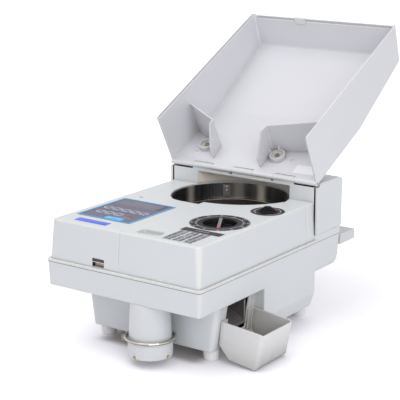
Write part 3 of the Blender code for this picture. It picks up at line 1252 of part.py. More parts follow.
def make_outlet():
    """The outlet cone in the pan's floor, the collar below it and the loose bag ring."""
    seat = SKIRT_Z + WALL + GAP
    top = seat + CONE_FLANGE_THICK
    lip = COLLAR_RADIUS - CONE_WALL - GAP
    lip_low = CONE_LOW_Z - COLLAR_LIP
    shoulder = SKIRT_Z - GAP
    cone = turned("outlet_cone", [
        (CONE_NECK - CONE_WALL, top), (CONE_FLANGE, top), (CONE_FLANGE, seat),
        (CONE_NECK, seat), (CONE_NECK, shoulder), (CONE_HIGH_RADIUS, shoulder),
        (CONE_LOW_RADIUS, CONE_LOW_Z), (lip, CONE_LOW_Z), (lip, lip_low), (lip - CONE_WALL, lip_low),
        (lip - CONE_WALL, CONE_LOW_Z + CONE_WALL), (CONE_HIGH_RADIUS - CONE_WALL, shoulder - CONE_WALL),
        (CONE_NECK - CONE_WALL, shoulder - CONE_WALL),
    ], OUTLET_X, OUTLET_Y, CIRCLE_STEPS, "light_shell")
    collar_top = CONE_LOW_Z - GAP
    flange_low = collar_top - COLLAR_FLANGE_THICK
    collar = turned("outlet_collar", [
        (lip + GAP, COLLAR_LOW_Z), (COLLAR_RADIUS, COLLAR_LOW_Z), (COLLAR_RADIUS, flange_low),
        (COLLAR_FLANGE, flange_low), (COLLAR_FLANGE, collar_top), (lip + GAP, collar_top),
    ], OUTLET_X, OUTLET_Y, CIRCLE_STEPS, "light_shell")
    middle = COLLAR_LOW_Z + INSERT_RADIUS - INSERT_BORE / 2
    for i in range(INSERT_COUNT):
        angle = math.radians(INSERT_TURN + 360 * i / INSERT_COUNT)
        turn = Matrix.Translation((OUTLET_X, OUTLET_Y, 0)) @ Matrix.Rotation(angle, 4, "Z")
        stud = extrude("insert", circle(0, middle, INSERT_RADIUS, SCREW_STEPS), COLLAR_RADIUS - CONE_WALL / 2,
                       COLLAR_RADIUS + INSERT_PROUD, "x")
        stud.data.transform(turn)
        join(collar, stud)
        hole = extrude("insert_hole", circle(0, middle, INSERT_BORE, SCREW_STEPS), COLLAR_RADIUS - 2 * CONE_WALL,
                       COLLAR_RADIUS + INSERT_PROUD + CUT, "x")
        hole.data.transform(turn)
        cut(collar, hole)
    ring_z = collar_top + GAP + RING_WIRE
    wire = [(RING_WIRE_RADIUS + RING_WIRE * math.cos(a), ring_z + RING_WIRE * math.sin(a))
            for a in np.linspace(0, 2 * math.pi, 8, endpoint=False)]
    ring = turned("bag_ring", wire, OUTLET_X, OUTLET_Y, CIRCLE_STEPS, "chrome")
    return [cone, collar, ring]


def box_outline(inset):
    """The coin box's section in x and z; the rim stays open above an inset one."""
    (rim_in, rim_out) = BOX_RIM
    wall_foot, slope_foot, outer_foot = BOX_FOOT
    if not inset:
        return [rim_in, wall_foot, slope_foot, outer_foot, rim_out]
    return [(rim_in[0] + inset, rim_in[1] + CUT), (wall_foot[0] + inset, wall_foot[1] + inset / 2),
            (slope_foot[0] + inset, slope_foot[1] + inset), (outer_foot[0] - inset, outer_foot[1] + inset),
            (rim_out[0] - inset + (rim_out[0] - outer_foot[0]) * CUT / rim_out[1], rim_out[1] + CUT)]


def make_reject_box():
    """The coin box, open at the top and notched where the chute reaches in."""
    box = extrude("reject_box", box_outline(0.0), BOX_FRONT, BOX_REAR, "y", "light_shell")
    outer = BOX_FOOT[2][0] - MERGE
    bevel_where(box, BOX_CORNER, lambda v: v.x > outer, 4)
    hollow = extrude("box_hollow", box_outline(BOX_WALL), BOX_FRONT + BOX_WALL, BOX_REAR - BOX_WALL, "y")
    bevel_where(hollow, BOX_CORNER - BOX_WALL, lambda v: v.x > outer - BOX_WALL, 4)
    notch = block("notch", (BOX_FOOT[0][0] - CUT, BOX_RIM[0][0] + BOX_WALL + CUT),
                  (BOX_NOTCH_FRONT, BOX_NOTCH_REAR), (BOX_NOTCH_Z, BOX_RIM[0][1] + CUT))
    return cut(box, hollow, notch)


def make_reject_chute():
    """The black chute that leads refused coins through the side opening."""
    y = (OPENING_FRONT + GAP, OPENING_REAR - GAP)
    outer_x = body_half(CHUTE_LOW_Z) - GAP
    high = SKIRT_Z - 2 * GAP
    outline = [(CHUTE_INNER_X, CHUTE_HIGH_Z), (outer_x, CHUTE_LOW_Z), (outer_x, high), (CHUTE_INNER_X, high)]
    chute = extrude("reject_chute", outline, y[0], y[1], "y", "black_plastic")
    rise = [(CHUTE_INNER_X - CUT, CHUTE_HIGH_Z + CHUTE_WALL), (outer_x + CUT, CHUTE_LOW_Z + CHUTE_WALL),
            (outer_x + CUT, high + CUT), (CHUTE_INNER_X - CUT, high + CUT)]
    return cut(chute, extrude("channel", rise, y[0] + CHUTE_WALL, y[1] - CHUTE_WALL, "y"))


def make_electrics():
    """The power supply, the mains inlet and the rocker switch."""
    x = (SUPPLY_CENTRE[0] - SUPPLY_SIZE[0] / 2, SUPPLY_CENTRE[0] + SUPPLY_SIZE[0] / 2)
    y = (SUPPLY_CENTRE[1] - SUPPLY_SIZE[1] / 2, SUPPLY_CENTRE[1] + SUPPLY_SIZE[1] / 2)
    supply = block("power_supply", x, y, (PLATE_TOP + GAP, PLATE_TOP + GAP + SUPPLY_SIZE[2]), "zinc_plate")
    face = rear_face(INLET_Z + INLET_SIZE[1] / 2 + INLET_FLANGE)
    inlet = block("power_inlet", (INLET_X - INLET_SIZE[0] / 2, INLET_X + INLET_SIZE[0] / 2),
                  (face - INLET_DEEP, face + INLET_FLANGE / 2),
                  (INLET_Z - INLET_SIZE[1] / 2, INLET_Z + INLET_SIZE[1] / 2), "black_plastic")
    flange = pad("flange", (INLET_X, INLET_Z), INLET_SIZE, KEY_CORNER, (0, INLET_FLANGE), grow=INLET_FLANGE)
    flange.data.transform(Matrix.Translation((0, face + GAP + INLET_FLANGE, 0))
                          @ Matrix(((1, 0, 0, 0), (0, 0, -1, 0), (0, 1, 0, 0), (0, 0, 0, 1))))
    join(inlet, flange)
    cut(inlet, block("pocket", (INLET_X - INLET_SIZE[0] / 2 + INLET_FLANGE, INLET_X + INLET_SIZE[0] / 2 - INLET_FLANGE),
                     (face - INLET_POCKET, face + INLET_DEEP),
                     (INLET_Z - INLET_SIZE[1] / 2 + INLET_FLANGE, INLET_Z + INLET_SIZE[1] / 2 - INLET_FLANGE)))
    for i in (-1, 0, 1):
        prong = extrude("prong", circle(INLET_X + i * INLET_SIZE[0] / 4, INLET_Z, PRONG_RADIUS, 6),
                        face - INLET_POCKET - CUT / 2, face - WALL, "y")
        join(inlet, prong)
    half_x, half_z = SWITCH_SIZE[0] / 2 - GAP, SWITCH_SIZE[1] / 2 - GAP
    rocker_face = face + INLET_FLANGE
    lean = math.tan(math.radians(SWITCH_TILT)) * half_z
    outline = [(face - INLET_DEEP / 2, -half_z), (rocker_face + lean / 2, -half_z), (rocker_face - lean / 4, 0),
               (rocker_face, half_z), (face - INLET_DEEP / 2, half_z)]
    outline = [(a, b + INLET_Z) for a, b in outline]
    rocker = extrude("power_switch", outline, SWITCH_X - half_x, SWITCH_X + half_x, "x", "black_plastic")
    return [supply, inlet, rocker]


def rear_face(z):
    """The y of the pan's rear face at a height on its skirt."""
    bead = RIDGE_Z - BEAD_HEIGHT - BEAD_INSET
    share = (z - SKIRT_Z) / (bead - SKIRT_Z)
    return TOTAL_DEPTH - SKIRT_INSET + (SKIRT_INSET - BEAD_INSET) * min(max(share, 0.0), 1.0)


def empty(name, place, parent):
    """An empty that carries pieces."""
    item = bpy.data.objects.new(name, None)
    bpy.context.scene.collection.objects.link(item)
    item.location = place
    item.parent = parent
    return item


def seat(item, pivot, parent):
    """Give a piece its origin at a pivot and hang it on its parent."""
    item.data.transform(Matrix.Translation(-Vector(pivot)))
    item.parent = parent
    item.location = (0, 0, 0)


def middle_of(item):
    """The centre of a piece's box."""
    corners = np.array([v.co for v in item.data.vertices])
    return Vector(((corners.min(axis=0) + corners.max(axis=0)) / 2).tolist())


def world_corners(items):
    """The lowest and highest corners of pieces in the world."""
    bpy.context.view_layer.update()
    points = []
    for item in items:
        mesh = np.array([v.co for v in item.data.vertices])
        matrix = np.array(item.matrix_world)
        points.append(mesh @ matrix[:3, :3].T + matrix[:3, 3])
    points = np.concatenate(points)
    return points.min(axis=0), points.max(axis=0)


def shade(item):
    """Smooth the round faces and keep the sharp edges."""
    item.data.shade_smooth()
    item.data.set_sharp_from_angle(angle=math.radians(35))


def main():
    """Build every piece, hang each on its pivot and set the origin."""
    clear_scene()
    make_materials()
    root = empty("coin_counter", (0, 0, 0), None)
    fixed = [make_base_housing(), make_base_plate(), *make_feet(), make_upper_housing(),
             make_access_cover(), make_latch_catch(), make_rear_tower(), make_rear_ledge(),
             make_hinge_pin(), make_belt(), *make_chassis(), *make_bowl()]
    controls = make_controls()
    dials = make_dials()
    disc = make_disc_group()
    motor = make_motor()
    path = make_coin_path()
    outlet = make_outlet()
    electrics = make_electrics()
    loose = controls + dials + disc + motor + path + outlet + electrics + [make_reject_box(),
                                                                           make_reject_chute()]
    tray = [make_tray_pan(), make_coin_guide("left_coin_guide", LEFT_GUIDE, LEFT_BOSS),
            make_coin_guide("right_coin_guide", RIGHT_GUIDE, RIGHT_BOSS),
            make_guide_screw("left_guide_screw", LEFT_BOSS),
            make_guide_screw("right_guide_screw", RIGHT_BOSS), make_tray_latch()]

    spun = {"coin_disc": (BOWL_X, BOWL_Y), "disc_cap": (BOWL_X, BOWL_Y), "disc_shaft": (BOWL_X, BOWL_Y),
            "disc_pulley": (BOWL_X, BOWL_Y), "motor_pulley": (MOTOR_X, MOTOR_Y),
            "denomination_knob": (DENOMINATION_X, DENOMINATION_Y),
            "thickness_knob": (THICKNESS_X, THICKNESS_Y)}
    for item in fixed + loose:
        pivot = middle_of(item)
        if item.name in spun:
            pivot = Vector((*spun[item.name], pivot.z))
        if item.name == "power_switch":
            pivot = Vector((SWITCH_X, rear_face(INLET_Z) - INLET_FLANGE, INLET_Z))
        seat(item, pivot, root)
        item.location = pivot
    hinge = empty("tray_hinge", (0, HINGE_Y, HINGE_Z), root)
    for item in tray:
        seat(item, (0, HINGE_Y, HINGE_Z), hinge)
    hinge.rotation_euler = (-math.radians(TRAY_ANGLE), 0, 0)

    pieces = fixed + loose + tray
    for item in pieces:
        shade(item)
    low, high = world_corners(pieces)
    root.location = (-(low[0] + high[0]) / 2, -(low[1] + high[1]) / 2, -low[2])
    bpy.context.view_layer.update()
    print("pieces", len(pieces), "origin moved by", [round(v, 6) for v in root.location])
    for name, place in (("tray_hinge", (0, HINGE_Y, HINGE_Z)), ("disc", (BOWL_X, BOWL_Y, DISC_TOP)),
                        ("motor", (MOTOR_X, MOTOR_Y, PULLEY_Z)),
                        ("denomination", (DENOMINATION_X, DENOMINATION_Y, DECK_Z)),
                        ("thickness", (THICKNESS_X, THICKNESS_Y, DECK_Z)),
                        ("switch", (SWITCH_X, rear_face(INLET_Z) - INLET_FLANGE, INLET_Z))):
        print(name, [round(v, 6) for v in root.matrix_world @ Vector(place)])


main()
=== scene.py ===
import json
import math

import bmesh
import bpy
import numpy as np
from bpy.types import NodeSocket, Operator, Panel, PropertyGroup
from mathutils import Euler, Matrix, Vector


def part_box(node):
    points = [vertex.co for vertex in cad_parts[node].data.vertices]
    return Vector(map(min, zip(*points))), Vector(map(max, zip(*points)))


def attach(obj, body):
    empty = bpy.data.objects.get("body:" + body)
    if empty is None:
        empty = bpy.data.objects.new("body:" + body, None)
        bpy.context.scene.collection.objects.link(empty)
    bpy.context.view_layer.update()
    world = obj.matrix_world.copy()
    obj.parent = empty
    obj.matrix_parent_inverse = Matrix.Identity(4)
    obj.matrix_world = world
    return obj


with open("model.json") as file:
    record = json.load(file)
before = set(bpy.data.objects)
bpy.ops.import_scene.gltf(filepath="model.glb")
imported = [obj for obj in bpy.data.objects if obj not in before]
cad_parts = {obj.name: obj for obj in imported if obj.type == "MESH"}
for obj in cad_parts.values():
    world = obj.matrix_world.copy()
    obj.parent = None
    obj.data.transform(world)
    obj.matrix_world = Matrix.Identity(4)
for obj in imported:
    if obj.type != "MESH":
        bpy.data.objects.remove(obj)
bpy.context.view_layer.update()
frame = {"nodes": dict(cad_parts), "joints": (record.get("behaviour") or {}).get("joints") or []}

bl_info = {
    "name": "Coin counter finishes",
    "version": (1, 0, 0),
    "blender": (4, 5, 0),
    "location": "View3D > Sidebar > Coin counter",
    "description": "Finishes, printed parts, small fasteners and the studio of a coin counter",
    "category": "Object",
}

# Lengths are in metres, and places are given from the middle of the ridge's front edge.
HOUSING_LOW, HOUSING_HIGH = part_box("base_housing")
DATUM = Vector(((HOUSING_LOW.x + HOUSING_HIGH.x) / 2, HOUSING_LOW.y, 0.0))
DECK_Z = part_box("upper_housing")[1].z
KEY_NAMES = [f"key_{i}" for i in range(1, 9)]
TURN = 2 * math.pi
SMOOTH_ANGLE = math.radians(35.0)
SHEET_LIFT = 0.00004
INK_THICK = 0.00006

# Measures of the solids that their boxes don't give. They follow the part's source.
TRAY_ANGLE = 153.1
RIM_Z = 0.1537
RIM_STEP = 0.0013
TRAY_WALL_Z = 0.2529
TOWER_TOP = 0.2464
SLOT_HEIGHTS = (0.1650, 0.2460)
SLOT_Y = 0.3562
BEAD_DROP = 0.0124
RIVET_FACE = 0.1011
RECESS_CENTRE = (0.0021, 0.3132)
RECESS_HEIGHTS = (0.2203, 0.2427)
RECESS_FRONT = math.radians(21.8)
LARGE_KNOB_TURN = math.radians(-60.0)
SMALL_KNOB_TURN = math.radians(17.0)
COVER_REACH = 0.1722
COVER_LEAN = 0.171
BODY_MIDDLE_Y = 0.2275

# Painted light: how wide the painted highlight along the cover's corner is, and the bright lobes
# round the bowl's wall, which are painted reflections, as angle in degrees, sharpness and strength.
CORNER_HIGHLIGHT = 0.0040
BOWL_LOBES = ((168.0, 180.0, 0.5), (116.0, 160.0, 0.36), (91.0, 240.0, 1.0),
              (40.0, 60.0, 0.5), (-20.0, 30.0, 0.6), (-110.0, 30.0, 0.8))


def at(x, y, z=0.0):
    """A spot given from the middle of the ridge's front edge, in the frame of the model."""
    return DATUM + Vector((x, y, z))


def middle(node):
    """The middle of a node's box."""
    low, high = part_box(node)
    return (low + high) / 2


def round_part(node):
    """Middle, radius and top of a round node."""
    low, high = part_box(node)
    return (low + high) / 2, (high.x - low.x) / 2, high.z


def paint(code):
    """Linear colour of a six-figure screen colour."""
    values = np.array([int(code[i:i + 2], 16) for i in (0, 2, 4)]) / 255
    return tuple(np.where(values <= 0.04045, values / 12.92, ((values + 0.055) / 1.055) ** 2.4))


def darker(colour, share):
    """A colour times a share."""
    return tuple(channel * share for channel in colour)


def lighter(colour, share):
    """A colour moved towards white by a share."""
    return tuple(channel + (1 - channel) * share for channel in colour)


# ------------------------------ settings

def colour_setting(label, description, code):
    """A colour that a user can change."""
    return bpy.props.FloatVectorProperty(name=label, description=description, subtype="COLOR",
                                         size=3, min=0.0, max=1.0, default=paint(code))


def length_setting(label, description, value):
    """A length that a user can change."""
    return bpy.props.FloatProperty(name=label, description=description, default=value, min=0.0,
                                   subtype="DISTANCE", unit="LENGTH", precision=5)


def number_setting(label, description, value, high):
    """A plain number that a user can change."""
    return bpy.props.FloatProperty(name=label, description=description, default=value, min=0.0,
                                   max=high)


class CoinCounterFinishes(PropertyGroup):
    """Colours and surface of the moulded, printed and metal parts."""

    shell: colour_setting("Shell", "Pale grey of the housing", "DBDEDF")
    box: colour_setting("Drawer", "Warm pale grey of the reject box", "E2E2E0")
    tray: colour_setting("Tray", "Pale grey of the coin tray", "DFDFE3")
    feet: colour_setting("Feet", "White rubber of the feet", "FCFCFA")
    panel: colour_setting("Panel", "Grey film of the control panel", "5F5D72")
    panel_edge: colour_setting("Panel edge", "Blue line round the control panel", "1CB0F4")
    keys: colour_setting("Keys", "Lilac grey of the small keys", "7E7F94")
    red_key: colour_setting("Red key", "Dull red of the stop key", "7A3A44")
    blue_key: colour_setting("Blue key", "Sky blue of the start key", "50C2F8")
    badge: colour_setting("Badge plate", "Blue of the bare plate below the panel", "5270EE")
    dial: colour_setting("Dial", "Dark grey of the dial rings", "3A373A")
    knob: colour_setting("Knob", "Black of the knobs", "08070B")
    grip: colour_setting("Grip bar", "Grey cap of the grip bar", "7B787C")
    pointer: colour_setting("Pointer", "Red of the pointers", "D8414F")
    ink: colour_setting("Ink", "White of the dial figures", "F2F1F3")
    dark_ink: colour_setting("Dark ink", "Near black of the printed table", "262732")
    steel: colour_setting("Steel", "Stainless steel of the bowl", "C9CCD4")
    brass: colour_setting("Brass", "Brass of inserts and springs", "C09A5A")
    # Warm grey that darkens hollows: dust, and painted shade.
    hollow_tone: colour_setting("Hollow tone", "Warm grey that settles in hollows", "6B6353")
    # Pale edges of mouldings: wear, and a painted highlight where edges catch the light.
    rub: colour_setting("Rub", "Warm white of rubbed edges on pale mouldings", "FBF7EF")
    grain_depth: length_setting("Grain depth", "Depth of the moulded grain", 0.00003)
    soft_edge: length_setting("Soft edge", "Radius that the edges of mouldings show", 0.0024)
    # Reach of the hollows that dust and painted shade darken.
    hollow_tone_reach: length_setting("Hollow tone reach", "Width of the hollows that hold dust", 0.035)
    # How strongly the edges' wear and painted highlight show.
    edge_gain: number_setting("Edge rub and highlight", "How strongly rubbed edges show", 11.0, 100.0)


class CoinCounterPrint(PropertyGroup):
    """Sizes of the printed and stuck-on parts."""

    edge_width: length_setting("Panel line", "Width of the blue line", 0.0034)
    outline: length_setting("Key outline", "Width of the line round a key", 0.0012)
    badge_x: length_setting("Badge length", "Length of the bare plate", 0.0660)
    badge_y: length_setting("Badge width", "Width of the bare plate", 0.0160)
    table_x: length_setting("Table length", "Length of the printed table", 0.0600)
    table_y: length_setting("Table width", "Width of the printed table", 0.0560)
    table_figure: length_setting("Table figures", "Height of the table's figures", 0.0053)
    header_x: length_setting("Header length", "Length of the table's dark header", 0.0770)
    header_y: length_setting("Header width", "Width of the table's dark header", 0.0175)
    figure: length_setting("Figure height", "Height of the dial figures", 0.0042)
    tick: length_setting("Tick length", "Length of a long dial tick", 0.0034)
    groove: length_setting("Ridge groove", "Height of the line under the ridge", 0.0012)
    tray_sheet: length_setting("Tray sheet", "Length of the bare sheet in the tray", 0.0500)


class CoinCounterStage(PropertyGroup):
    """Lamps, floor and camera."""

    key_power: number_setting("Key lamp", "Power of the large lamp", 23.0, 5000.0)
    fill_power: number_setting("Fill lamp", "Power of the fill lamp", 25.0, 5000.0)
    sky: number_setting("Surround", "Strength of the surrounding light", 0.64, 10.0)
    floor_glow: number_setting("Floor glow", "White added to the floor where it is seen", 0.31, 1.0)
    focal: number_setting("Focal length", "Focal length in millimetres", 120.4007, 1000.0)


def finishes():
    """The settings of the finishes."""
    return bpy.context.scene.coin_counter_finishes


def prints():
    """The settings of the print."""
    return bpy.context.scene.coin_counter_print


def stage_settings():
    """The settings of the stage."""
    return bpy.context.scene.coin_counter_stage


# ------------------------------ surfaces

def shape(grid, wrap_rows=False, wrap_columns=True, caps=False):
    """Points and faces of a grid of points grid[u, v].

    Face = the quad between rows u, u + 1 and columns v, v + 1. Caps close first and last row.
    """
    rows, columns = grid.shape[:2]
    u, v = np.meshgrid(np.arange(rows - (not wrap_rows)), np.arange(columns - (not wrap_columns)),
                       indexing="ij")
    here, ahead = u * columns, (u + 1) % rows * columns
    shadow_beside = (v + 1) % columns
    faces = np.stack([here + v, ahead + v, ahead + shadow_beside, here + shadow_beside], -1)
    faces = faces.reshape(-1, 4).tolist()
    if caps:
        faces.append(list(range(columns)))
        faces.append(list(range((rows - 1) * columns, rows * columns)))
    return grid.reshape(-1, 3), faces


def gathered(shapes):
    """Several shapes as one: each face list moved on by the number of points before it."""
    points, faces, start = [], [], 0
    for some_points, some_faces in shapes:
        points.append(some_points)
        faces += [[index + start for index in face] for face in some_faces]
        start += len(some_points)
    return np.concatenate(points), faces


def sheet_profile(z, layers=1):
    """Profile of a printed sheet that starts at a height, some layers of ink thick."""
    return [(0, z), (0, z + INK_THICK * layers)]


def line_profile(z, width):
    """Profile of a printed line that runs round inside an outline."""
    return [(0, z), (0, z + INK_THICK), (width, z + INK_THICK), (width, z)]


def pad_shape(centre, size, corner, profile, steps=6):
    """A rounded rectangle carried up a profile of (inset, height).

    Point = corner centre + (corner radius - inset) * (cos a, sin a), with a running once round.
    """
    inset, height = np.array(profile, float).T
    sweep = np.linspace(0, TURN / 4, steps)
    angle = np.concatenate([sweep + TURN / 4 * i for i in range(4)])
    sign = np.repeat([(1, 1), (-1, 1), (-1, -1), (1, -1)], steps, axis=0)
    radius = corner - inset[:, None]
    x = centre[0] + sign[:, 0] * (size[0] / 2 - corner) + radius * np.cos(angle)
    y = centre[1] + sign[:, 1] * (size[1] / 2 - corner) + radius * np.sin(angle)
    return np.stack([x, y, np.broadcast_to(height[:, None], x.shape)], -1)


def turned_shape(centre, profile, steps=24, start=0.0, stop=TURN):
    """A profile of (radius, height) turned about an upright axis.

    Point = centre + radius * (cos a, sin a), height.
    """
    radius, height = np.array(profile, float).T
    angle = np.linspace(start, stop, steps, endpoint=abs(stop - start) < TURN)
    x = centre[0] + radius[:, None] * np.cos(angle)
    y = centre[1] + radius[:, None] * np.sin(angle)
    return np.stack([x, y, np.broadcast_to(height[:, None], x.shape)], -1)


def ring_shape(centre, inner, outer, low, high, steps=96, start=0.0, stop=TURN):
    """A flat ring: its square section turned about the axis, closed where the turn isn't full."""
    section = [(inner, low), (outer, low), (outer, high), (inner, high)]
    full = abs(stop - start) >= TURN
    grid = turned_shape(centre, section, steps, start, stop)
    points, faces = shape(grid, wrap_rows=True, wrap_columns=full)
    if not full:
        faces += [[i * steps for i in range(4)], [i * steps + steps - 1 for i in range(4)]]
    return points, faces


def bars_shape(places, angles, lengths, widths, low, high):
    """Many flat bars at once: a unit box scaled, turned by each bar's angle and moved."""
    places, angles = np.asarray(places, float), np.asarray(angles, float)
    lengths = np.broadcast_to(np.asarray(lengths, float), angles.shape)
    widths = np.broadcast_to(np.asarray(widths, float), angles.shape)
    ahead = np.array([-1, 1, 1, -1, -1, 1, 1, -1]) / 2
    across = np.array([-1, -1, 1, 1, -1, -1, 1, 1]) / 2
    height = np.array([low] * 4 + [high] * 4)
    u, v = lengths[:, None] * ahead, widths[:, None] * across
    cosine, sine = np.cos(angles)[:, None], np.sin(angles)[:, None]
    x = places[:, :1] + u * cosine - v * sine
    y = places[:, 1:2] + u * sine + v * cosine
    points = np.stack([x, y, np.broadcast_to(height, x.shape)], -1).reshape(-1, 3)
    box = np.array([(0, 3, 2, 1), (4, 5, 6, 7), (0, 1, 5, 4), (1, 2, 6, 5), (2, 3, 7, 6),
                    (3, 0, 4, 7)])
    faces = (box[None] + 8 * np.arange(len(angles))[:, None, None]).reshape(-1, 4)
    return points, faces.tolist()


def round_places(centre, radius, angle):
    """Spots on a circle: centre + radius * (cos a, sin a)."""
    return np.stack([centre.x + radius * np.cos(angle), centre.y + radius * np.sin(angle)], -1)


def placed(points, centre, angle):
    """Points turned about the upright axis by an angle, then moved from the origin to a centre."""
    turn = np.array(Matrix.Rotation(angle, 3, "Z"))
    return points @ turn.T + np.array((centre[0], centre[1], 0))


def opened(points):
    """Points of the closed tray, turned about its hinge to where the tray rests open."""
    joint, = [joint for joint in frame["joints"] if joint["name"] == "tray_hinge"]
    pivot = Vector(joint["pos_m"])
    turn = np.array(Matrix.Translation(pivot)
                    @ Matrix.Rotation(math.radians(-TRAY_ANGLE), 4, "X")
                    @ Matrix.Translation(-pivot))
    return points @ turn[:3, :3].T + turn[:3, 3]


def figures_shape(words, places, height, angles, low, weight=0.0):
    """Figures of the built-in face, each turned and moved to its place, as thin closed solids."""
    found = []
    for word, place, angle in zip(words, places, angles):
        curve = bpy.data.curves.new("figure", "FONT")
        curve.body = word
        curve.size = height
        curve.extrude = INK_THICK / 2
        curve.offset = weight
        curve.align_x = "CENTER"
        curve.align_y = "CENTER"
        curve.resolution_u = 2
        item = bpy.data.objects.new("figure", curve)
        bpy.context.scene.collection.objects.link(item)
        graph = bpy.context.evaluated_depsgraph_get()
        mesh = bpy.data.meshes.new_from_object(item.evaluated_get(graph))
        points = np.zeros(len(mesh.vertices) * 3, np.float32)
        mesh.vertices.foreach_get("co", points)
        points = placed(points.reshape(-1, 3).astype(float), place, angle)
        points[:, 2] += low + INK_THICK / 2
        found.append((points, [list(face.vertices) for face in mesh.polygons]))
        bpy.data.objects.remove(item)
        bpy.data.curves.remove(curve)
        bpy.data.meshes.remove(mesh)
    return gathered(found)


def piece(name, shapes, finish_name, body):
    """Put shapes into one mesh, merge doubles, point faces outwards and let it ride on a body."""
    points, faces = gathered(shapes)
    mesh = bpy.data.meshes.new(name)
    mesh.from_pydata(points.tolist(), [], faces)
    bm = bmesh.new()
    bm.from_mesh(mesh)
    bmesh.ops.remove_doubles(bm, verts=bm.verts, dist=1e-7)
    bmesh.ops.recalc_face_normals(bm, faces=bm.faces)
    bm.to_mesh(mesh)
    bm.free()
    mesh.polygons.foreach_set("use_smooth", np.ones(len(mesh.polygons), bool))
    mesh.set_sharp_from_angle(angle=SMOOTH_ANGLE)
    mesh.materials.append(finish(finish_name))
    item = bpy.data.objects.new(name, mesh)
    bpy.context.scene.collection.objects.link(item)
    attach(item, body)


def plate(name, grid, finish_name, body):
    """A grid whose first and last row are closed, as one piece."""
    piece(name, [shape(grid, caps=True)], finish_name, body)


def base_bars(name, places, lengths, widths, low, high, finish_name, slot):
    """Bars along x on the casing, as one piece."""
    bars = bars_shape(places, np.zeros(len(places)), lengths, widths, low, high)
    piece(name, [bars], finish_name, "base")


# ------------------------------ shader nodes

def feed(socket, value):
    """Link a value's socket to an input, or set the input to a plain value or colour."""
    if isinstance(value, NodeSocket):
        socket.id_data.links.new(value, socket)
    else:
        socket.default_value = (*value, 1.0) if socket.type == "RGBA" else value


def add_node(tree, kind, inputs, **settings):
    """A shader node with its settings and its inputs, which are plain values or sockets."""
    node = tree.nodes.new(f"ShaderNode{kind}")
    for key, value in settings.items():
        setattr(node, key, value)
    for key, value in inputs.items():
        feed(node.inputs[key], value)
    return node.outputs


def maths(operation, *values, clamp=False):
    """A Math node of plain values and at least one socket."""
    tree = next(value.id_data for value in values if isinstance(value, NodeSocket))
    return add_node(tree, "Math", dict(enumerate(values)), operation=operation, use_clamp=clamp)[0]


def times(first, second):
    """Two values multiplied."""
    return maths("MULTIPLY", first, second)


def mixed(factor, first, second):
    """A colour mix."""
    return add_node(factor.id_data, "Mix", {"Factor": factor, 6: first, 7: second},
                    data_type="RGBA")[2]


def noise(vector, scale, detail=3.0, roughness=0.6):
    """A Noise Texture node's factor."""
    return add_node(vector.id_data, "TexNoise", {"Vector": vector, "Scale": scale,
                                                 "Detail": detail, "Roughness": roughness})["Fac"]


def spread(value, low, high, out_low=0.0, out_high=1.0, smooth=True):
    """A Map Range node from low..high to out_low..out_high."""
    inputs = {"Value": value, "From Min": low, "From Max": high, "To Min": out_low,
              "To Max": out_high}
    return add_node(value.id_data, "MapRange", inputs,
                    interpolation_type="SMOOTHSTEP" if smooth else "LINEAR")["Result"]


def object_place(tree):
    """The place of a point in the object's own frame."""
    return add_node(tree, "TexCoord", {})["Object"]


def along(tree, direction):
    """How far a point lies along a direction: the dot product of its place with it."""
    return add_node(tree, "VectorMath", {0: object_place(tree), 1: direction},
                    operation="DOT_PRODUCT")["Value"]


def start_group(name, inputs, outputs):
    """A new shader group: a centre and a normal are vectors, its other sockets are numbers."""
    tree = bpy.data.node_groups.new(name, "ShaderNodeTree")
    for side, labels in (("INPUT", inputs), ("OUTPUT", outputs)):
        for label in labels:
            kind = "Vector" if label in ("Centre", "Normal") else "Float"
            socket = tree.interface.new_socket(name=label, in_out=side,
                                               socket_type=f"NodeSocket{kind}")
            if side == "INPUT":
                socket.default_value = inputs[label]
    source, result = tree.nodes.new("NodeGroupInput"), tree.nodes.new("NodeGroupOutput")
    return tree, source.outputs, result.inputs


def make_moulded_group():
    """Fine grain of a moulded surface, slow changes of tone and faint handling marks."""
    tree, source, result = start_group(
        "moulded_surface", {"Grain Scale": 1500.0, "Tone Scale": 9.0, "Depth": 0.00003},
        ("Height", "Tone", "Handling"))
    place = object_place(tree)
    grain = noise(place, source["Grain Scale"], 2.0)
    tone = noise(place, source["Tone Scale"], 3.0, 0.55)
    fine = noise(place, 260.0, 4.0, 0.7)
    smear = spread(noise(place, 34.0, 5.0, 0.65), 0.48, 0.74)
    feed(result["Height"], times(maths("SUBTRACT", grain, 0.5), source["Depth"]))
    feed(result["Tone"], maths("ADD", times(tone, 0.8), times(fine, 0.2)))
    feed(result["Handling"], smear)
    return tree


def make_edge_wear_and_highlight_group():
    """Softened edge normal, and a mask that is 1 at a sharp bend, broken up by noise: the mask
    lightens edges as wear and as a painted highlight.
    """
    tree, source, result = start_group("edge_wear", {"Radius": 0.0007, "Gain": 3.0},
                                       ("Normal", "Mask"))
    soft = add_node(tree, "Bevel", {"Radius": source["Radius"]}, samples=6)["Normal"]
    true = add_node(tree, "NewGeometry", {})["Normal"]
    level = add_node(tree, "VectorMath", {0: soft, 1: true}, operation="DOT_PRODUCT")["Value"]
    bend = maths("MULTIPLY", maths("SUBTRACT", 1.0, level), source["Gain"], clamp=True)
    rub = spread(noise(object_place(tree), 120.0, 3.0, 0.5), 0.2, 0.5)
    feed(result["Mask"], times(bend, rub))
    feed(result["Normal"], soft)
    return tree


def make_cavity_shade_group():
    """A mask that is 1 deep in corners and hollows, broken up by noise, for painted shade there and
    for dust on mouldings.
    """
    tree, source, result = start_group("cavity_dust", {"Distance": 0.03}, ("Mask",))
    openness = add_node(tree, "AmbientOcclusion", {"Distance": source["Distance"]}, samples=6)["AO"]
    hollow = spread(openness, 0.1, 0.85, 1.0, 0.0)
    patchy = spread(noise(object_place(tree), 60.0, 3.0, 0.5), 0.2, 0.8, 0.75, 1.0)
    feed(result["Mask"], times(hollow, patchy))
    return tree


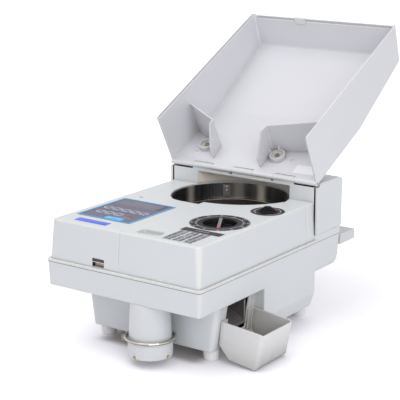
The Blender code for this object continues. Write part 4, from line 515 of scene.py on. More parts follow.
def make_turned_group():
    """Rings of a turned or brushed round part, and the painted reflections of a bowl's wall: bright
    lobes over slow bands.

    Height = noise of (radius, height, sine of the angle), each times its scale.
    Reflection Bands = slow noise round the axis + the sum of strength * cos(angle - lobe) **
    sharpness.
    """
    tree, source, result = start_group(
        "turned_marks", {"Centre": (0.0, 0.0, 0.0), "Ring Scale": 900.0, "Rise Scale": 900.0,
                         "Round Scale": 6.0}, ("Height", "Tone", "Radius", "Bands"))
    from_centre = add_node(tree, "VectorMath", {0: object_place(tree), 1: source["Centre"]},
                           operation="SUBTRACT")[0]
    x, y, z = add_node(tree, "SeparateXYZ", {0: from_centre})
    radius = maths("SQRT", maths("ADD", times(x, x), times(y, y)))
    swing = maths("ARCTAN2", y, x)
    rings = add_node(tree, "CombineXYZ", {
        0: times(radius, source["Ring Scale"]), 1: times(z, source["Rise Scale"]),
        2: times(maths("SINE", swing), source["Round Scale"])})[0]
    feed(result["Height"], noise(rings, 1.0))
    feed(result["Tone"], noise(object_place(tree), 30.0))
    feed(result["Radius"], radius)
    around = add_node(tree, "CombineXYZ", {0: maths("DIVIDE", x, radius),
                                           1: maths("DIVIDE", y, radius)})[0]
    slow = spread(noise(around, 4.2, 2.0), 0.32, 0.68)
    bands = times(slow, 0.13)
    for degrees, sharpness, strength in BOWL_LOBES:
        near = maths("COSINE", maths("SUBTRACT", swing, math.radians(degrees)))
        lobe = maths("POWER", maths("MAXIMUM", near, 0.0), sharpness)
        bands = maths("ADD", bands, times(lobe, strength))
    feed(result["Bands"], maths("MINIMUM", bands, 1.0))
    return tree


GROUP_MAKERS = {"moulded_surface": make_moulded_group, "edge_wear": make_edge_wear_and_highlight_group,
                "cavity_dust": make_cavity_shade_group, "turned_marks": make_turned_group}


def use_group(tree, name, **values):
    """Place a shader group in a material with its own values."""
    node = tree.nodes.new("ShaderNodeGroup")
    node.node_tree = bpy.data.node_groups.get(name) or GROUP_MAKERS[name]()
    for key, value in values.items():
        node.inputs[key.replace("_", " ")].default_value = value
    return node.outputs


# ------------------------------ materials

def start_finish(name, colour, roughness, metallic=0.0, specular=0.5):
    """A new material, its tree and the inputs of its Principled shader."""
    material = bpy.data.materials.new(f"{name}_finish")
    material.use_nodes = True
    tree = material.node_tree
    shader = tree.nodes["Principled BSDF"].inputs
    for key, value in (("Base Color", colour), ("Roughness", roughness), ("Metallic", metallic),
                       ("Specular IOR Level", specular)):
        feed(shader[key], value)
    return material, tree, shader


def bumped(shader, height, distance=1.0, strength=1.0, normal=None):
    """A Bump node that feeds the shader's normal, laid over another normal where one is given."""
    inputs = {"Strength": strength, "Distance": distance, "Height": height}
    if normal is not None:
        inputs["Normal"] = normal
    feed(shader["Normal"], add_node(height.id_data, "Bump", inputs)["Normal"])


def cover_corner_highlight(tree):
    """Painted highlight along the cover's front right corner: 1 where x - y + lean * z comes up to
    its value.
    """
    corner = at(COVER_REACH, 0.0)
    stop = corner.x - corner.y
    return spread(along(tree, (1.0, -1.0, COVER_LEAN)), stop - CORNER_HIGHLIGHT, stop - CORNER_HIGHLIGHT / 3)


def moulded(name, colour, roughness, grain=1500.0, depth=1.0, wear_and_highlight=0.35, contrast=0.035, edge=1.0,
            specular=0.5, hollow_tone=0.0, reach=1.0, corner=False):
    """Moulded plastic: grain, slow tone, smoother patches, edges lightened by wear and a painted
    highlight, a painted highlight on the cover's corner where asked, and hollows darkened by dust
    and painted shade.
    """
    material, tree, shader = start_finish(name, colour, roughness, specular=specular)
    settings = finishes()
    surface = use_group(tree, "moulded_surface", Grain_Scale=grain, Tone_Scale=8.0,
                        Depth=settings.grain_depth * depth)
    edges = use_group(tree, "edge_wear", Radius=settings.soft_edge * edge, Gain=settings.edge_gain)
    tone = mixed(surface["Tone"], darker(colour, 1 - contrast), lighter(colour, contrast))
    # Hollows darkened by dust and by painted shade.
    if hollow_tone:
        hollow = use_group(tree, "cavity_dust", Distance=settings.hollow_tone_reach * reach)["Mask"]
        tone = mixed(times(hollow, hollow_tone), tone, settings.hollow_tone)
    # Edges lightened as wear and as a painted highlight.
    worn_and_lit_edges = times(edges["Mask"], wear_and_highlight)
    # The cover's corner gets a painted highlight.
    if corner:
        worn_and_lit_edges = maths("MAXIMUM", worn_and_lit_edges, times(cover_corner_highlight(tree), 0.38))
    rub = settings.rub if min(colour) > 0.5 else lighter(colour, 0.65)
    feed(shader["Base Color"], mixed(worn_and_lit_edges, tone, rub))
    feed(shader["Roughness"], spread(surface["Handling"], 0.0, 1.0, roughness + 0.03,
                                     roughness - 0.05, smooth=False))
    bumped(shader, surface["Height"], normal=edges["Normal"])
    return material


def metal(name, colour, roughness, centre=None, scale=900.0, contrast=0.12,
          stretch=(1.0, 1.0, 1.0), bowl=False, depth=0.00002, under=None):
    """Bare metal: brushed or turned lines in tone, roughness and height.

    A bowl also has painted reflections, its bright lobes and bands, and what lies below the height
    under is painted dark as a reflection of the shade beneath.
    """
    material, tree, shader = start_finish(name, colour, roughness, metallic=1.0)
    if centre is None:
        place = add_node(tree, "Mapping", {"Vector": object_place(tree), "Scale": stretch})[0]
        lines = noise(place, scale)
        cloud = noise(object_place(tree), 25.0)
    else:
        marks = use_group(tree, "turned_marks", Centre=tuple(centre), Ring_Scale=scale,
                          Rise_Scale=scale * (0.08 if bowl else 1.0),
                          Round_Scale=26.0 if bowl else 6.0)
        lines, cloud = marks["Height"], marks["Bands" if bowl else "Tone"]
    edges = use_group(tree, "edge_wear", Radius=finishes().soft_edge / 2, Gain=2.0)
    pale = paint("F0E4D2") if bowl else lighter(colour, min(contrast / 2, 0.1))
    tone = mixed(cloud, darker(colour, 1 - contrast), pale)
    # Painted reflection: below the height under, the metal is painted dark as the shade beneath
    # would show in it.
    if under:
        upright = along(tree, (0.0, 0.0, 1.0))
        shade = spread(upright, under - 0.0010, under + 0.0008, 0.85, 0.0)
        tone = mixed(shade, tone, paint("3A302C"))
    streaked = mixed(times(lines, 0.3), tone, darker(colour, 0.8))
    # Metal edges lightened as wear and as a painted highlight.
    feed(shader["Base Color"], mixed(times(edges["Mask"], 0.4), streaked, lighter(colour, 0.3)))
    rough = spread(lines, 0.2, 0.8, roughness * 0.7, roughness * 1.35)
    # Painted reflections: the bowl's bright bands are rougher and less metallic, so they take in
    # more light.
    if bowl:
        rough = maths("ADD", rough, times(cloud, 0.3))
        feed(shader["Metallic"], spread(cloud, 0.1, 1.0, 1.0, 0.45))
    feed(shader["Roughness"], rough)
    bumped(shader, lines, depth, 0.6, edges["Normal"])
    return material


def film(name, colour, roughness, pitch=None, rows=0.0, specular=0.22):
    """Printed film or ink: slow tone, and faint rows across it where a pitch is given."""
    material, tree, shader = start_finish(name, colour, roughness, specular=specular)
    surface = use_group(tree, "moulded_surface", Grain_Scale=2600.0, Tone_Scale=22.0,
                        Depth=0.000008)
    tone = mixed(surface["Tone"], darker(colour, 0.92), lighter(colour, 0.05))
    if pitch:
        wave = maths("SINE", times(along(tree, (0.0, 1.0, 0.0)), TURN / pitch))
        row = times(spread(wave, -0.4, 0.6), rows)
        tone = mixed(row, tone, lighter(colour, 0.12))
    feed(shader["Base Color"], tone)
    feed(shader["Roughness"], spread(surface["Handling"], 0.0, 1.0, roughness + 0.05,
                                     roughness - 0.05))
    bumped(shader, surface["Height"])
    return material


def disc_rubber(name, colour, roughness, centre, pitch):
    """Ribbed rubber of the coin disc: rings of a pitch, dust in the hollows and rubbed tops."""
    material, tree, shader = start_finish(name, colour, roughness, specular=0.2)
    marks = use_group(tree, "turned_marks", Centre=tuple(centre), Ring_Scale=500.0,
                      Rise_Scale=200.0)
    wave = maths("SINE", times(marks["Radius"], TURN / pitch))
    height = spread(wave, -0.5, 0.5)
    hollow_tone = times(maths("SUBTRACT", 1.0, height), marks["Tone"])
    feed(shader["Base Color"], mixed(times(hollow_tone, 0.5), colour, lighter(colour, 0.12)))
    feed(shader["Roughness"], spread(height, 0.0, 1.0, roughness + 0.15, roughness - 0.15))
    bumped(shader, height, 0.0004, 0.7)
    return material


def circuit(name, colour, roughness):
    """Solder mask over copper lines: a brick pattern's joints show as paler tracks."""
    material, tree, shader = start_finish(name, colour, roughness)
    feed(shader["Coat Weight"], 0.3)
    feed(shader["Coat Roughness"], 0.15)
    tracks = add_node(tree, "TexBrick", {
        "Vector": object_place(tree), "Scale": 160.0, "Mortar Size": 0.06, "Color1": colour,
        "Color2": darker(colour, 0.85), "Mortar": lighter(colour, 0.18)})
    surface = use_group(tree, "moulded_surface", Grain_Scale=1800.0, Tone_Scale=20.0, Depth=0.00001)
    feed(shader["Base Color"], mixed(times(surface["Tone"], 0.3), tracks["Color"],
                                     darker(colour, 0.7)))
    bumped(shader, tracks["Fac"], 0.00004, 0.4)
    return material


def finish_tables(s):
    """Colour, roughness and other values of each finish, under the function that makes it."""
    disc, ring = middle("coin_disc"), middle("bag_ring")
    casing = dict(edge=1.6, wear_and_highlight=0.9)
    dark = dict(contrast=0.02, depth=0.6)
    return {
        # The hollows' darkening is dust and painted shade; the edges' lightening is wear and a
        # painted highlight.
        moulded: {
            "shell_plastic": (s.shell, 0.42, dict(wear_and_highlight=0.8, hollow_tone=0.35)),
            "casing_plastic": (s.shell, 0.42, dict(casing, hollow_tone=0.3)),
            # The cover also has a painted highlight along its front right corner.
            "cover_plastic": (s.shell, 0.42, dict(casing, hollow_tone=0.3, corner=True)),
            "ridge_plastic": (s.shell, 0.42, dict(casing, hollow_tone=0.2)),
            # The ledge: the shell's grey painted darker as shade.
            "ledge_plastic": (darker(s.shell, 0.93), 0.42, dict(wear_and_highlight=0.8, hollow_tone=0.35)),
            # Painted warm light: a pale warm sheet in the tower's recess.
            "recess_plastic": (paint("FFF6E6"), 0.5, dict(contrast=0.02)),
            "cone_plastic": (darker(s.shell, 0.91), 0.2, dict(depth=0.4, specular=1.0)),
            "tray_plastic": (s.tray, 0.40, dict(contrast=0.03, wear_and_highlight=0.9, hollow_tone=0.25)),
            # The guides: the tray's grey painted darker as shade.
            "guide_plastic": (darker(s.tray, 0.925), 0.40,
                              dict(contrast=0.03, wear_and_highlight=0.9, hollow_tone=0.35)),
            # The box's hollows take strong dust and painted shade.
            "box_plastic": (s.box, 0.34, dict(depth=0.5, wear_and_highlight=0.9, hollow_tone=1.0, reach=2.0)),
            "feet_rubber": (s.feet, 0.68, dict(grain=900.0)),
            "black_plastic": (paint("3C393C"), 0.45,
                              dict(wear_and_highlight=0.06, contrast=0.01, specular=0.3)),
            "chute_plastic": (paint("686263"), 0.4, dict(wear_and_highlight=0.2, contrast=0.01)),
            # Dark plastic of the window's end, and painted shade in the latch recess.
            "bar_plastic": (paint("38353C"), 0.4, dict(wear_and_highlight=0.05, contrast=0.01)),
            "knob_plastic": (s.knob, 0.35,
                             dict(wear_and_highlight=0.03, contrast=0.008, depth=0.5, specular=0.14)),
            "dial_plastic": (s.dial, 0.6, dict(dark, wear_and_highlight=0.06, specular=0.1)),
            "small_dial_plastic": (darker(s.dial, 0.4), 0.42,
                                   dict(dark, wear_and_highlight=0.05, specular=0.25)),
            "grip_plastic": (s.grip, 0.4, dict(wear_and_highlight=0.1)),
            "pointer_plastic": (s.pointer, 0.4, dict(wear_and_highlight=0.1)),
            "stripe_plastic": (darker(s.pointer, 0.4), 0.4, dict(wear_and_highlight=0.1)),
            "key_plastic": (s.keys, 0.4, dict(wear_and_highlight=0.2)),
            "red_key_plastic": (s.red_key, 0.4, dict(wear_and_highlight=0.06, contrast=0.02)),
            "blue_key_plastic": (s.blue_key, 0.38, dict(wear_and_highlight=0.06)),
            "belt_rubber": (paint("1D1B1B"), 0.75, dict(grain=700.0, contrast=0.01)),
            "cast_metal": (paint("83868A"), 0.55, dict(grain=500.0, depth=2.5)),
            "motor_paint": (paint("8F9295"), 0.4, dict(grain=800.0)),
        },
        film: {
            "panel_film": (s.panel, 0.38, dict(pitch=0.0034, rows=0.08)),
            "window_film": (lighter(s.panel, 0.015), 0.34, dict(pitch=0.0041, rows=0.16)),
            "edge_film": (s.panel_edge, 0.35, {}),
            "badge_film": (s.badge, 0.36, {}),
            "paper_film": (paint("E6E7EC"), 0.5, {}),
            "sheet_film": (paint("F7F7FA"), 0.5, {}),
            "header_film": (paint("1C1A1C"), 0.4, {}),
            # Painted shade band and painted highlights of the tray rim's step.
            "rim_shade": (darker(s.tray, 0.78), 0.5, {}),
            "rim_line": (paint("FDFBF7"), 0.45, {}),
            "white_ink": (s.ink, 0.5, {}),
            "dark_ink": (s.dark_ink, 0.5, {}),
            "lilac_ink": (paint("E2E8FF"), 0.5, {}),
            # Painted shadow in the groove under the ridge's bead.
            "seam_ink": (paint("6A5E55"), 0.6, {}),
            # Near black: painted shade in the tower's slots and gaps.
            "gap_lining": (paint("1C1714"), 0.7, dict(specular=0.05)),
        },
        metal: {
            # The bowl's wall: painted reflections, dark between pale bands and lobes.
            "bowl_steel": (s.steel, 0.3, dict(centre=disc, scale=90.0, contrast=0.88, bowl=True,
                                              depth=0.000005)),
            "plate_steel": (darker(s.steel, 0.5), 0.34, dict(stretch=(1.0, 12.0, 12.0))),
            "strap_steel": (paint("9A9796"), 0.42, dict(contrast=0.04, stretch=(1.0, 1.0, 6.0))),
            "rivet_steel": (paint("F6ECE0"), 0.38, dict(contrast=0.05)),
            "shaft_steel": (darker(s.steel, 0.6), 0.25, dict(centre=disc, scale=1200.0)),
            # The bag ring: its strong patches of tone and its dark lower half are painted
            # reflections.
            "bright_steel": (paint("E4DCD4"), 0.12, dict(contrast=0.4, under=ring.z)),
            "brass_metal": (s.brass, 0.3, dict(contrast=0.15)),
            "spring_metal": (paint("8E7C70"), 0.34, dict(contrast=0.15)),
            "screw_metal": (paint("C6A877"), 0.3, dict(contrast=0.3)),
        },
        disc_rubber: {"disc_rubber": (paint("1C1A1B"), 0.6, dict(centre=disc, pitch=0.004))},
        circuit: {"board_mask": (paint("1F6B3A"), 0.45, {})},
    }


def finish(name):
    """A finish by name, made the first time that it is asked for."""
    made = bpy.data.materials.get(f"{name}_finish")
    if made is None:
        maker, table = next((maker, table) for maker, table in finish_tables(finishes()).items()
                            if name in table)
        colour, roughness, values = table[name]
        made = maker(name, colour, roughness, **values)
    return made


NODE_FINISHES = {
    "shell_plastic": ["base_plate", "rear_tower", "outlet_collar"],
    "ledge_plastic": ["rear_ledge"],
    "cover_plastic": ["access_cover"],
    "casing_plastic": ["upper_housing"],
    "ridge_plastic": ["base_housing"],
    "cone_plastic": ["outlet_cone"],
    "tray_plastic": ["tray_pan", "tray_latch"],
    "guide_plastic": ["left_coin_guide", "right_coin_guide"],
    "box_plastic": ["reject_box"],
    "feet_rubber": ["front_left_foot", "front_right_foot", "rear_left_foot", "rear_right_foot"],
    "chute_plastic": ["reject_chute"],
    "black_plastic": ["count_sensor", "power_inlet", "power_switch", "disc_pulley",
                      "motor_pulley"],
    "knob_plastic": ["denomination_knob", "thickness_knob"],
    "dial_plastic": ["denomination_dial"],
    "small_dial_plastic": ["thickness_dial"],
    "key_plastic": KEY_NAMES,
    "red_key_plastic": ["stop_key"],
    "blue_key_plastic": ["start_key"],
    "belt_rubber": ["drive_belt"],
    "panel_film": ["control_panel"],
    "window_film": ["display_window"],
    "bowl_steel": ["bowl_ring", "disc_cap"],
    "strap_steel": ["ring_strap"],
    "plate_steel": ["chassis_plate", "coin_rail", "thickness_gate", "hinge_pin"],
    "shaft_steel": ["disc_shaft"],
    "bright_steel": ["bag_ring"],
    "spring_metal": ["latch_catch"],
    "screw_metal": ["left_guide_screw", "right_guide_screw"],
    "cast_metal": ["shaft_bearing"],
    "motor_paint": ["motor", "power_supply"],
    "disc_rubber": ["coin_disc"],
    "board_mask": ["circuit_board"],
}


# ------------------------------ operators

class PieceOperator:
    """What the operators below share."""

    bl_options = {"REGISTER", "UNDO"}


class COINCOUNTER_OT_node_finishes(PieceOperator, Operator):
    """Give every part of the frame its finish"""

    bl_idname = "coin_counter.node_finishes"
    bl_label = "Finish the frame"

    def execute(self, context):
        left = set(frame["nodes"])
        for name, nodes in NODE_FINISHES.items():
            for node in nodes:
                materials = frame["nodes"][node].data.materials
                materials.clear()
                materials.append(finish(name))
            left -= set(nodes)
        if left:
            raise RuntimeError(f"no finish is named for {sorted(left)}")
        return {"FINISHED"}


class COINCOUNTER_OT_panel_print(PieceOperator, Operator):
    """Blue line, key outlines and legend bars of the panel, its window's end and the deck's lens"""

    bl_idname = "coin_counter.panel_print"
    bl_label = "Control panel print"

    legend_shifts = (-0.00336, 0.00312)
    legend_lengths = [0.0042, 0.0050]
    legend_drop = 0.0026
    legend_width = 0.0011
    lens_spot = (-0.1165, 0.2085)
    lens_size = (0.0085, 0.0030)

    def execute(self, context):
        settings = prints()
        low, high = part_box("control_panel")
        z, width = high.z + SHEET_LIFT, settings.edge_width
        line = pad_shape((low + high) / 2, (high.x - low.x, high.y - low.y), width * 1.1,
                         line_profile(z, width))
        piece("panel_edge_line", [shape(line, wrap_rows=True)], "edge_film", "base")
        keys = KEY_NAMES + ["stop_key"]
        legends = [(middle(key).x + shift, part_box(key)[0].y - self.legend_drop)
                   for key in keys for shift in self.legend_shifts]
        base_bars("panel_legend_bars", legends, self.legend_lengths * len(keys),
                  self.legend_width, z, z + INK_THICK, "lilac_ink", "keys")
        width, outlines = settings.outline, []
        for key in KEY_NAMES:
            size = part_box(key)[1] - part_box(key)[0]
            around = (size.x + 2 * width, size.y + 2 * width)
            rim = pad_shape(middle(key), around, around[1] * 0.4, line_profile(z, width * 0.8))
            outlines.append(shape(rim, wrap_rows=True))
        piece("key_outlines", outlines, "lilac_ink", "base")
        low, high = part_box("display_window")
        end = pad_shape((high.x - 0.0050, (low.y + high.y) / 2), (0.0084, high.y - low.y - 0.0012),
                        0.0010, sheet_profile(high.z + SHEET_LIFT))
        plate("window_end", end, "bar_plastic", "base")
        crown = [(0.0, DECK_Z - 0.0002), (0.0, DECK_Z + 0.0002), (0.0006, DECK_Z + 0.0003)]
        lens = pad_shape(at(*self.lens_spot), self.lens_size, 0.0014, crown)
        plate("deck_lens", lens, "grip_plastic", "base")
        return {"FINISHED"}


class COINCOUNTER_OT_key_marks(PieceOperator, Operator):
    """Two slanted bars, one bar or two upright bars on each key, and a block on stop and start"""

    bl_idname = "coin_counter.key_marks"
    bl_label = "Key marks"

    width = 0.0015
    # Each bar's angle, its shift along x and y from the key's middle, and its length.
    bars = (
        [(0.5, 0.0, 0.0009, 0.0046), (-0.5, 0.0, -0.0009, 0.0046)],
        [(0.0, 0.0, 0.0, 0.0060)],
        [(TURN / 4, -0.0014, 0.0, 0.0038), (TURN / 4, 0.0014, 0.0, 0.0038)],
    )

    def execute(self, context):
        for index, key in enumerate(KEY_NAMES):
            centre, z = middle(key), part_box(key)[1].z + SHEET_LIFT
            angle, x, y, length = np.array(self.bars[index % len(self.bars)]).T
            places = np.stack([centre.x + x, centre.y + y], -1)
            mark = bars_shape(places, angle, length, self.width, z, z + INK_THICK)
            piece(f"{key}_mark", [mark], "dark_ink", f"{key}_body")
        for key, size, ink, slot in (("stop_key", 0.0034, "dark_ink", "red_key"),
                                     ("start_key", 0.0085, "edge_film", "blue_key")):
            block = pad_shape(middle(key), (size, size * 0.6), size * 0.1,
                              sheet_profile(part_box(key)[1].z + SHEET_LIFT))
            plate(f"{key}_mark", block, ink, f"{key}_body")
        return {"FINISHED"}


class COINCOUNTER_OT_badge_plate(PieceOperator, Operator):
    """The bare blue plate in front of the control panel"""

    bl_idname = "coin_counter.badge_plate"
    bl_label = "Bare plate"

    spot = (-0.0823, 0.0332)
    corner = 0.0012

    def execute(self, context):
        settings = prints()
        z = DECK_Z + SHEET_LIFT
        grid = pad_shape(at(*self.spot), (settings.badge_x, settings.badge_y), self.corner,
                         [(0.0, z), (0.0, z + 0.0003), (0.0003, z + 0.0005)])
        plate("badge_plate", grid, "badge_film", "base")
        return {"FINISHED"}


class COINCOUNTER_OT_coin_table(PieceOperator, Operator):
    """The printed table in front of the large dial: a dark header over rows of figures"""

    bl_idname = "coin_counter.coin_table"
    bl_label = "Printed table"

    sheet_spot = (0.0965, 0.0485)
    header_spot = (0.1005, 0.0868)
    rows = 11
    columns = 6
    pair_shift = 0.04
    figure_weight = 0.072
    heading = "12 34 56 78 90"
    heading_height = 0.0042
    # The columns' made-up values: face, and first value and step of width and edge.
    faces = (1, 2, 5, 10, 20, 50, 100)
    widths = (162.5, 8.5)
    edges = (167.0, 6.0)

    def execute(self, context):
        settings = prints()
        z = DECK_Z + SHEET_LIFT
        sheet, header = at(*self.sheet_spot), at(*self.header_spot)
        size = (settings.table_x, settings.table_y)
        plate("table_sheet", pad_shape(sheet, size, 0.001, sheet_profile(z)), "paper_film",
              "base")
        strip = pad_shape(header, (settings.header_x, settings.header_y), 0.0008,
                          sheet_profile(z, 2))
        plate("table_header", strip, "header_film", "base")
        row, column = [part.ravel() for part in
                       np.meshgrid(np.arange(self.rows), np.arange(self.columns), indexing="ij")]
        paired = np.where(column % 2 == 0, self.pair_shift, -self.pair_shift)
        x = sheet.x + ((column + 0.5 + paired) / self.columns - 0.5) * size[0]
        y = sheet.y + (0.5 - (row + 0.5) / self.rows) * size[1]
        width, edge = [first + row * step for first, step in (self.widths, self.edges)]
        face = np.array(self.faces)[row % len(self.faces)]
        words = [f"{value:03.0f}"
                 for value in np.choose(column % 4, [10 * (row + 1), width, edge, face])]
        height = settings.table_figure
        figures = figures_shape(words, np.stack([x, y], -1), height, np.zeros(len(words)),
                                z + INK_THICK + SHEET_LIFT, height * self.figure_weight)
        piece("table_figures", [figures], "dark_ink", "base")
        heading = figures_shape([self.heading], [header], self.heading_height, [0.0],
                                z + 2 * INK_THICK + SHEET_LIFT)
        piece("table_heading", [heading], "white_ink", "base")
        return {"FINISHED"}


class COINCOUNTER_OT_dial_scales(PieceOperator, Operator):
    """Printed ticks, rings and figures of both dials"""

    bl_idname = "coin_counter.dial_scales"
    bl_label = "Dial scales"

    ticks = 60
    numbers = 12
    small_sweep = 150

    def execute(self, context):
        settings = prints()
        centre, outer, top = round_part("denomination_dial")
        inner = round_part("denomination_knob")[1]
        z = top + SHEET_LIFT
        angle = np.arange(self.ticks) / self.ticks * TURN
        long = np.arange(self.ticks) % (self.ticks // self.numbers) == 0
        length = np.where(long, settings.tick, settings.tick * 0.55)
        ticks = bars_shape(round_places(centre, inner + 0.0016 + length / 2, angle), angle, length,
                           np.where(long, 0.0009, 0.0005), z, z + INK_THICK)
        rings = [ring_shape(centre, radius, radius + 0.0004, z, z + INK_THICK)
                 for radius in (outer - 0.0016, inner + 0.0008)]
        numbered = np.arange(self.numbers) / self.numbers * TURN
        figures = figures_shape([str(10 * (self.numbers - i)) for i in range(self.numbers)],
                                round_places(centre, (inner + outer) / 2 + 0.0018, numbered),
                                settings.figure, numbered - TURN / 4, z)
        piece("denomination_scale", [ticks, *rings, figures], "white_ink", "base")
        centre, _, top = round_part("thickness_dial")
        inner = round_part("thickness_knob")[1]
        z = top + SHEET_LIFT
        angle = np.radians(np.arange(-self.small_sweep, self.small_sweep + 1, 12.5)) + TURN / 4
        ticks = bars_shape(round_places(centre, inner + 0.0030, angle), angle, 0.0022, 0.0005, z,
                           z + INK_THICK)
        arc = ring_shape(centre, inner + 0.0013, inner + 0.0018, z, z + INK_THICK, 72,
                         math.radians(90 - self.small_sweep), math.radians(90 + self.small_sweep))
        piece("thickness_scale", [ticks, arc], "white_ink", "base")
        return {"FINISHED"}


class COINCOUNTER_OT_knob_pointers(PieceOperator, Operator):
    """Grey cap and red tip of the sunk knob's bar, and the red stripe of the small knob"""

    bl_idname = "coin_counter.knob_pointers"
    bl_label = "Knob pointers"

    def execute(self, context):
        centre, _, top = round_part("denomination_knob")
        z = top + SHEET_LIFT
        cap = pad_shape((0, 0), (0.0600, 0.0056), 0.0012,
                        [(0, z - 0.0004), (0, z + 0.0001), (0.0004, z + 0.0004)])
        tip = pad_shape((0.0265, 0), (0.0170, 0.0034), 0.0012, [(0, z + 0.0003), (0, z + 0.0006)])
        for name, grid, ink, slot in (("grip_bar_cap", cap, "grip_plastic", "knob"),
                                      ("grip_bar_tip", tip, "pointer_plastic", "red_key")):
            plate(name, placed(grid, centre, LARGE_KNOB_TURN), ink, "denomination_knob_body")
        centre, reach, top = round_part("thickness_knob")
        out = np.array([0.56, 0.73, 0.90]) * reach
        rise = top - np.array([0.0034, 0.0060, 0.0086])
        half = np.array([0.0009, 0.0012, 0.0013])
        rim = np.array([(-1, 0.0), (1, 0.0), (1, 0.0003), (-1, 0.0003)])
        grid = np.stack([np.broadcast_to(out[:, None], (3, 4)), half[:, None] * rim[:, 0],
                         rise[:, None] + rim[:, 1]], -1)
        plate("small_knob_stripe", placed(grid, centre, SMALL_KNOB_TURN), "stripe_plastic",
              "thickness_knob_body")
        return {"FINISHED"}


class COINCOUNTER_OT_outlet_fittings(PieceOperator, Operator):
    """Brass sleeves in the collar and the clamp on the bag ring"""

    bl_idname = "coin_counter.outlet_fittings"
    bl_label = "Outlet fittings"

    sleeve_reach = 0.0382
    sleeve_rise = 0.0041
    clamp_turn = math.radians(-150.0)

    def execute(self, context):
        centre = middle("outlet_collar")
        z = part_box("outlet_collar")[0].z + self.sleeve_rise
        profile = [(0.0023, -0.0040), (0.0033, -0.0040), (0.0033, 0.0003), (0.0030, 0.0006),
                   (0.0024, 0.0006)]
        sleeve = turned_shape((0, 0), profile)[..., [2, 0, 1]]
        sleeve = sleeve + np.array((self.sleeve_reach, 0, z))
        sleeves = [shape(placed(sleeve, centre, angle), wrap_rows=True)
                   for angle in np.radians(-5 + 90 * np.arange(4))]
        piece("collar_sleeves", sleeves, "brass_metal", "base")
        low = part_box("bag_ring")[0]
        centre, radius, top = round_part("bag_ring")
        spot = round_places(centre, radius - 0.0009, self.clamp_turn)
        clamp = pad_shape((0, 0), (0.0085, 0.0075), 0.0015,
                          [(0.0006, low.z - 0.0064), (0.0, low.z - 0.0058), (0.0, top - 0.0006),
                           (0.0008, top)])
        plate("bag_ring_clamp", placed(clamp, spot, self.clamp_turn), "spring_metal",
              "bag_ring_body")
        return {"FINISHED"}


class COINCOUNTER_OT_tray_sheet(PieceOperator, Operator):
    """The bare pale sheet in the tray's corner"""

    bl_idname = "coin_counter.tray_sheet"
    bl_label = "Bare tray sheet"

    spot = (0.1195, 0.3240)
    width = 0.0215
    corner = 0.0015

    def execute(self, context):
        profile = sheet_profile(TRAY_WALL_Z - SHEET_LIFT - INK_THICK * 2, 2)
        size = (prints().tray_sheet, self.width)
        grid = pad_shape(at(*self.spot), size, self.corner, profile)
        plate("tray_sheet", opened(grid), "sheet_film", "tray")
        return {"FINISHED"}


class COINCOUNTER_OT_casing_screws(PieceOperator, Operator):
    """Cross-head screws under the base plate"""

    bl_idname = "coin_counter.casing_screws"
    bl_label = "Casing screws"

    side_inset = 0.012
    end_inset = 0.05
    slot_turn = 0.6

    def execute(self, context):
        low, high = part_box("base_plate")
        z = low.z
        profile = [(0.0, z - 0.0016), (0.0016, z - 0.0015), (0.0030, z - 0.0009), (0.0034, z),
                   (0.0, z)]
        heads, slots = [], []
        turns = [self.slot_turn, self.slot_turn + TURN / 4]
        for x in (low.x + self.side_inset, high.x - self.side_inset):
            for y in np.linspace(low.y + self.end_inset, high.y - self.end_inset, 3):
                heads.append(shape(turned_shape((x, y), profile)))
                slots.append(bars_shape([(x, y)] * 2, turns, 0.0034, 0.0007, z - 0.00175,
                                        z - 0.0013))
        piece("plate_screws", heads, "shaft_steel", "base")
        piece("plate_screw_slots", slots, "dark_ink", "base")
        return {"FINISHED"}


class COINCOUNTER_OT_ridge_line(PieceOperator, Operator):
    """The thin painted shadow line in the groove under the ridge's bead"""

    bl_idname = "coin_counter.ridge_line"
    bl_label = "Ridge line"

    def execute(self, context):
        size = (HOUSING_HIGH.x - HOUSING_LOW.x, HOUSING_HIGH.y - HOUSING_LOW.y)
        top = HOUSING_HIGH.z - BEAD_DROP
        low = top - prints().groove
        grid = pad_shape((HOUSING_LOW + HOUSING_HIGH) / 2, size, 0.0080,
                         [(0.0009, top), (0.0004, top), (0.0005, low), (0.0010, low)])
        piece("ridge_line", [shape(grid, wrap_rows=True)], "seam_ink", "base")
        return {"FINISHED"}


class COINCOUNTER_OT_catch_fittings(PieceOperator, Operator):
    """Dark bar, partly the latch's hook and partly painted shade, dark cheeks of painted shade on
    the recess's side walls, bright lip and spring plate in the latch recess
    """

    bl_idname = "coin_counter.catch_fittings"
    bl_label = "Catch fittings"

    def execute(self, context):
        low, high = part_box("latch_catch")
        front, x, reach = high.y - 0.0107, (low.x + high.x) / 2, high.x - low.x
        base_bars("catch_bar", [(x, front + 0.0034)], reach, 0.0040, 0.1637, 0.1681,
                  "bar_plastic", "black")
        base_bars("catch_lip", [(x, front + 0.0030)], reach, 0.0042, 0.1621, 0.1629,
                  "rivet_steel", "steel")
        # Dark cheeks: painted shade on the recess's side walls.
        cheeks = [(x + side * (reach / 2 + 0.0004), front + 0.0058) for side in (-1, 1)]
        base_bars("catch_cheeks", cheeks, 0.0003, 0.0092, 0.1544, 0.1681, "bar_plastic", "black")
        base_bars("catch_plate", [(x + 0.0006, front + 0.0050)], reach * 0.86, 0.0004, 0.1556,
                  0.1612, "spring_metal", "brass")
        return {"FINISHED"}


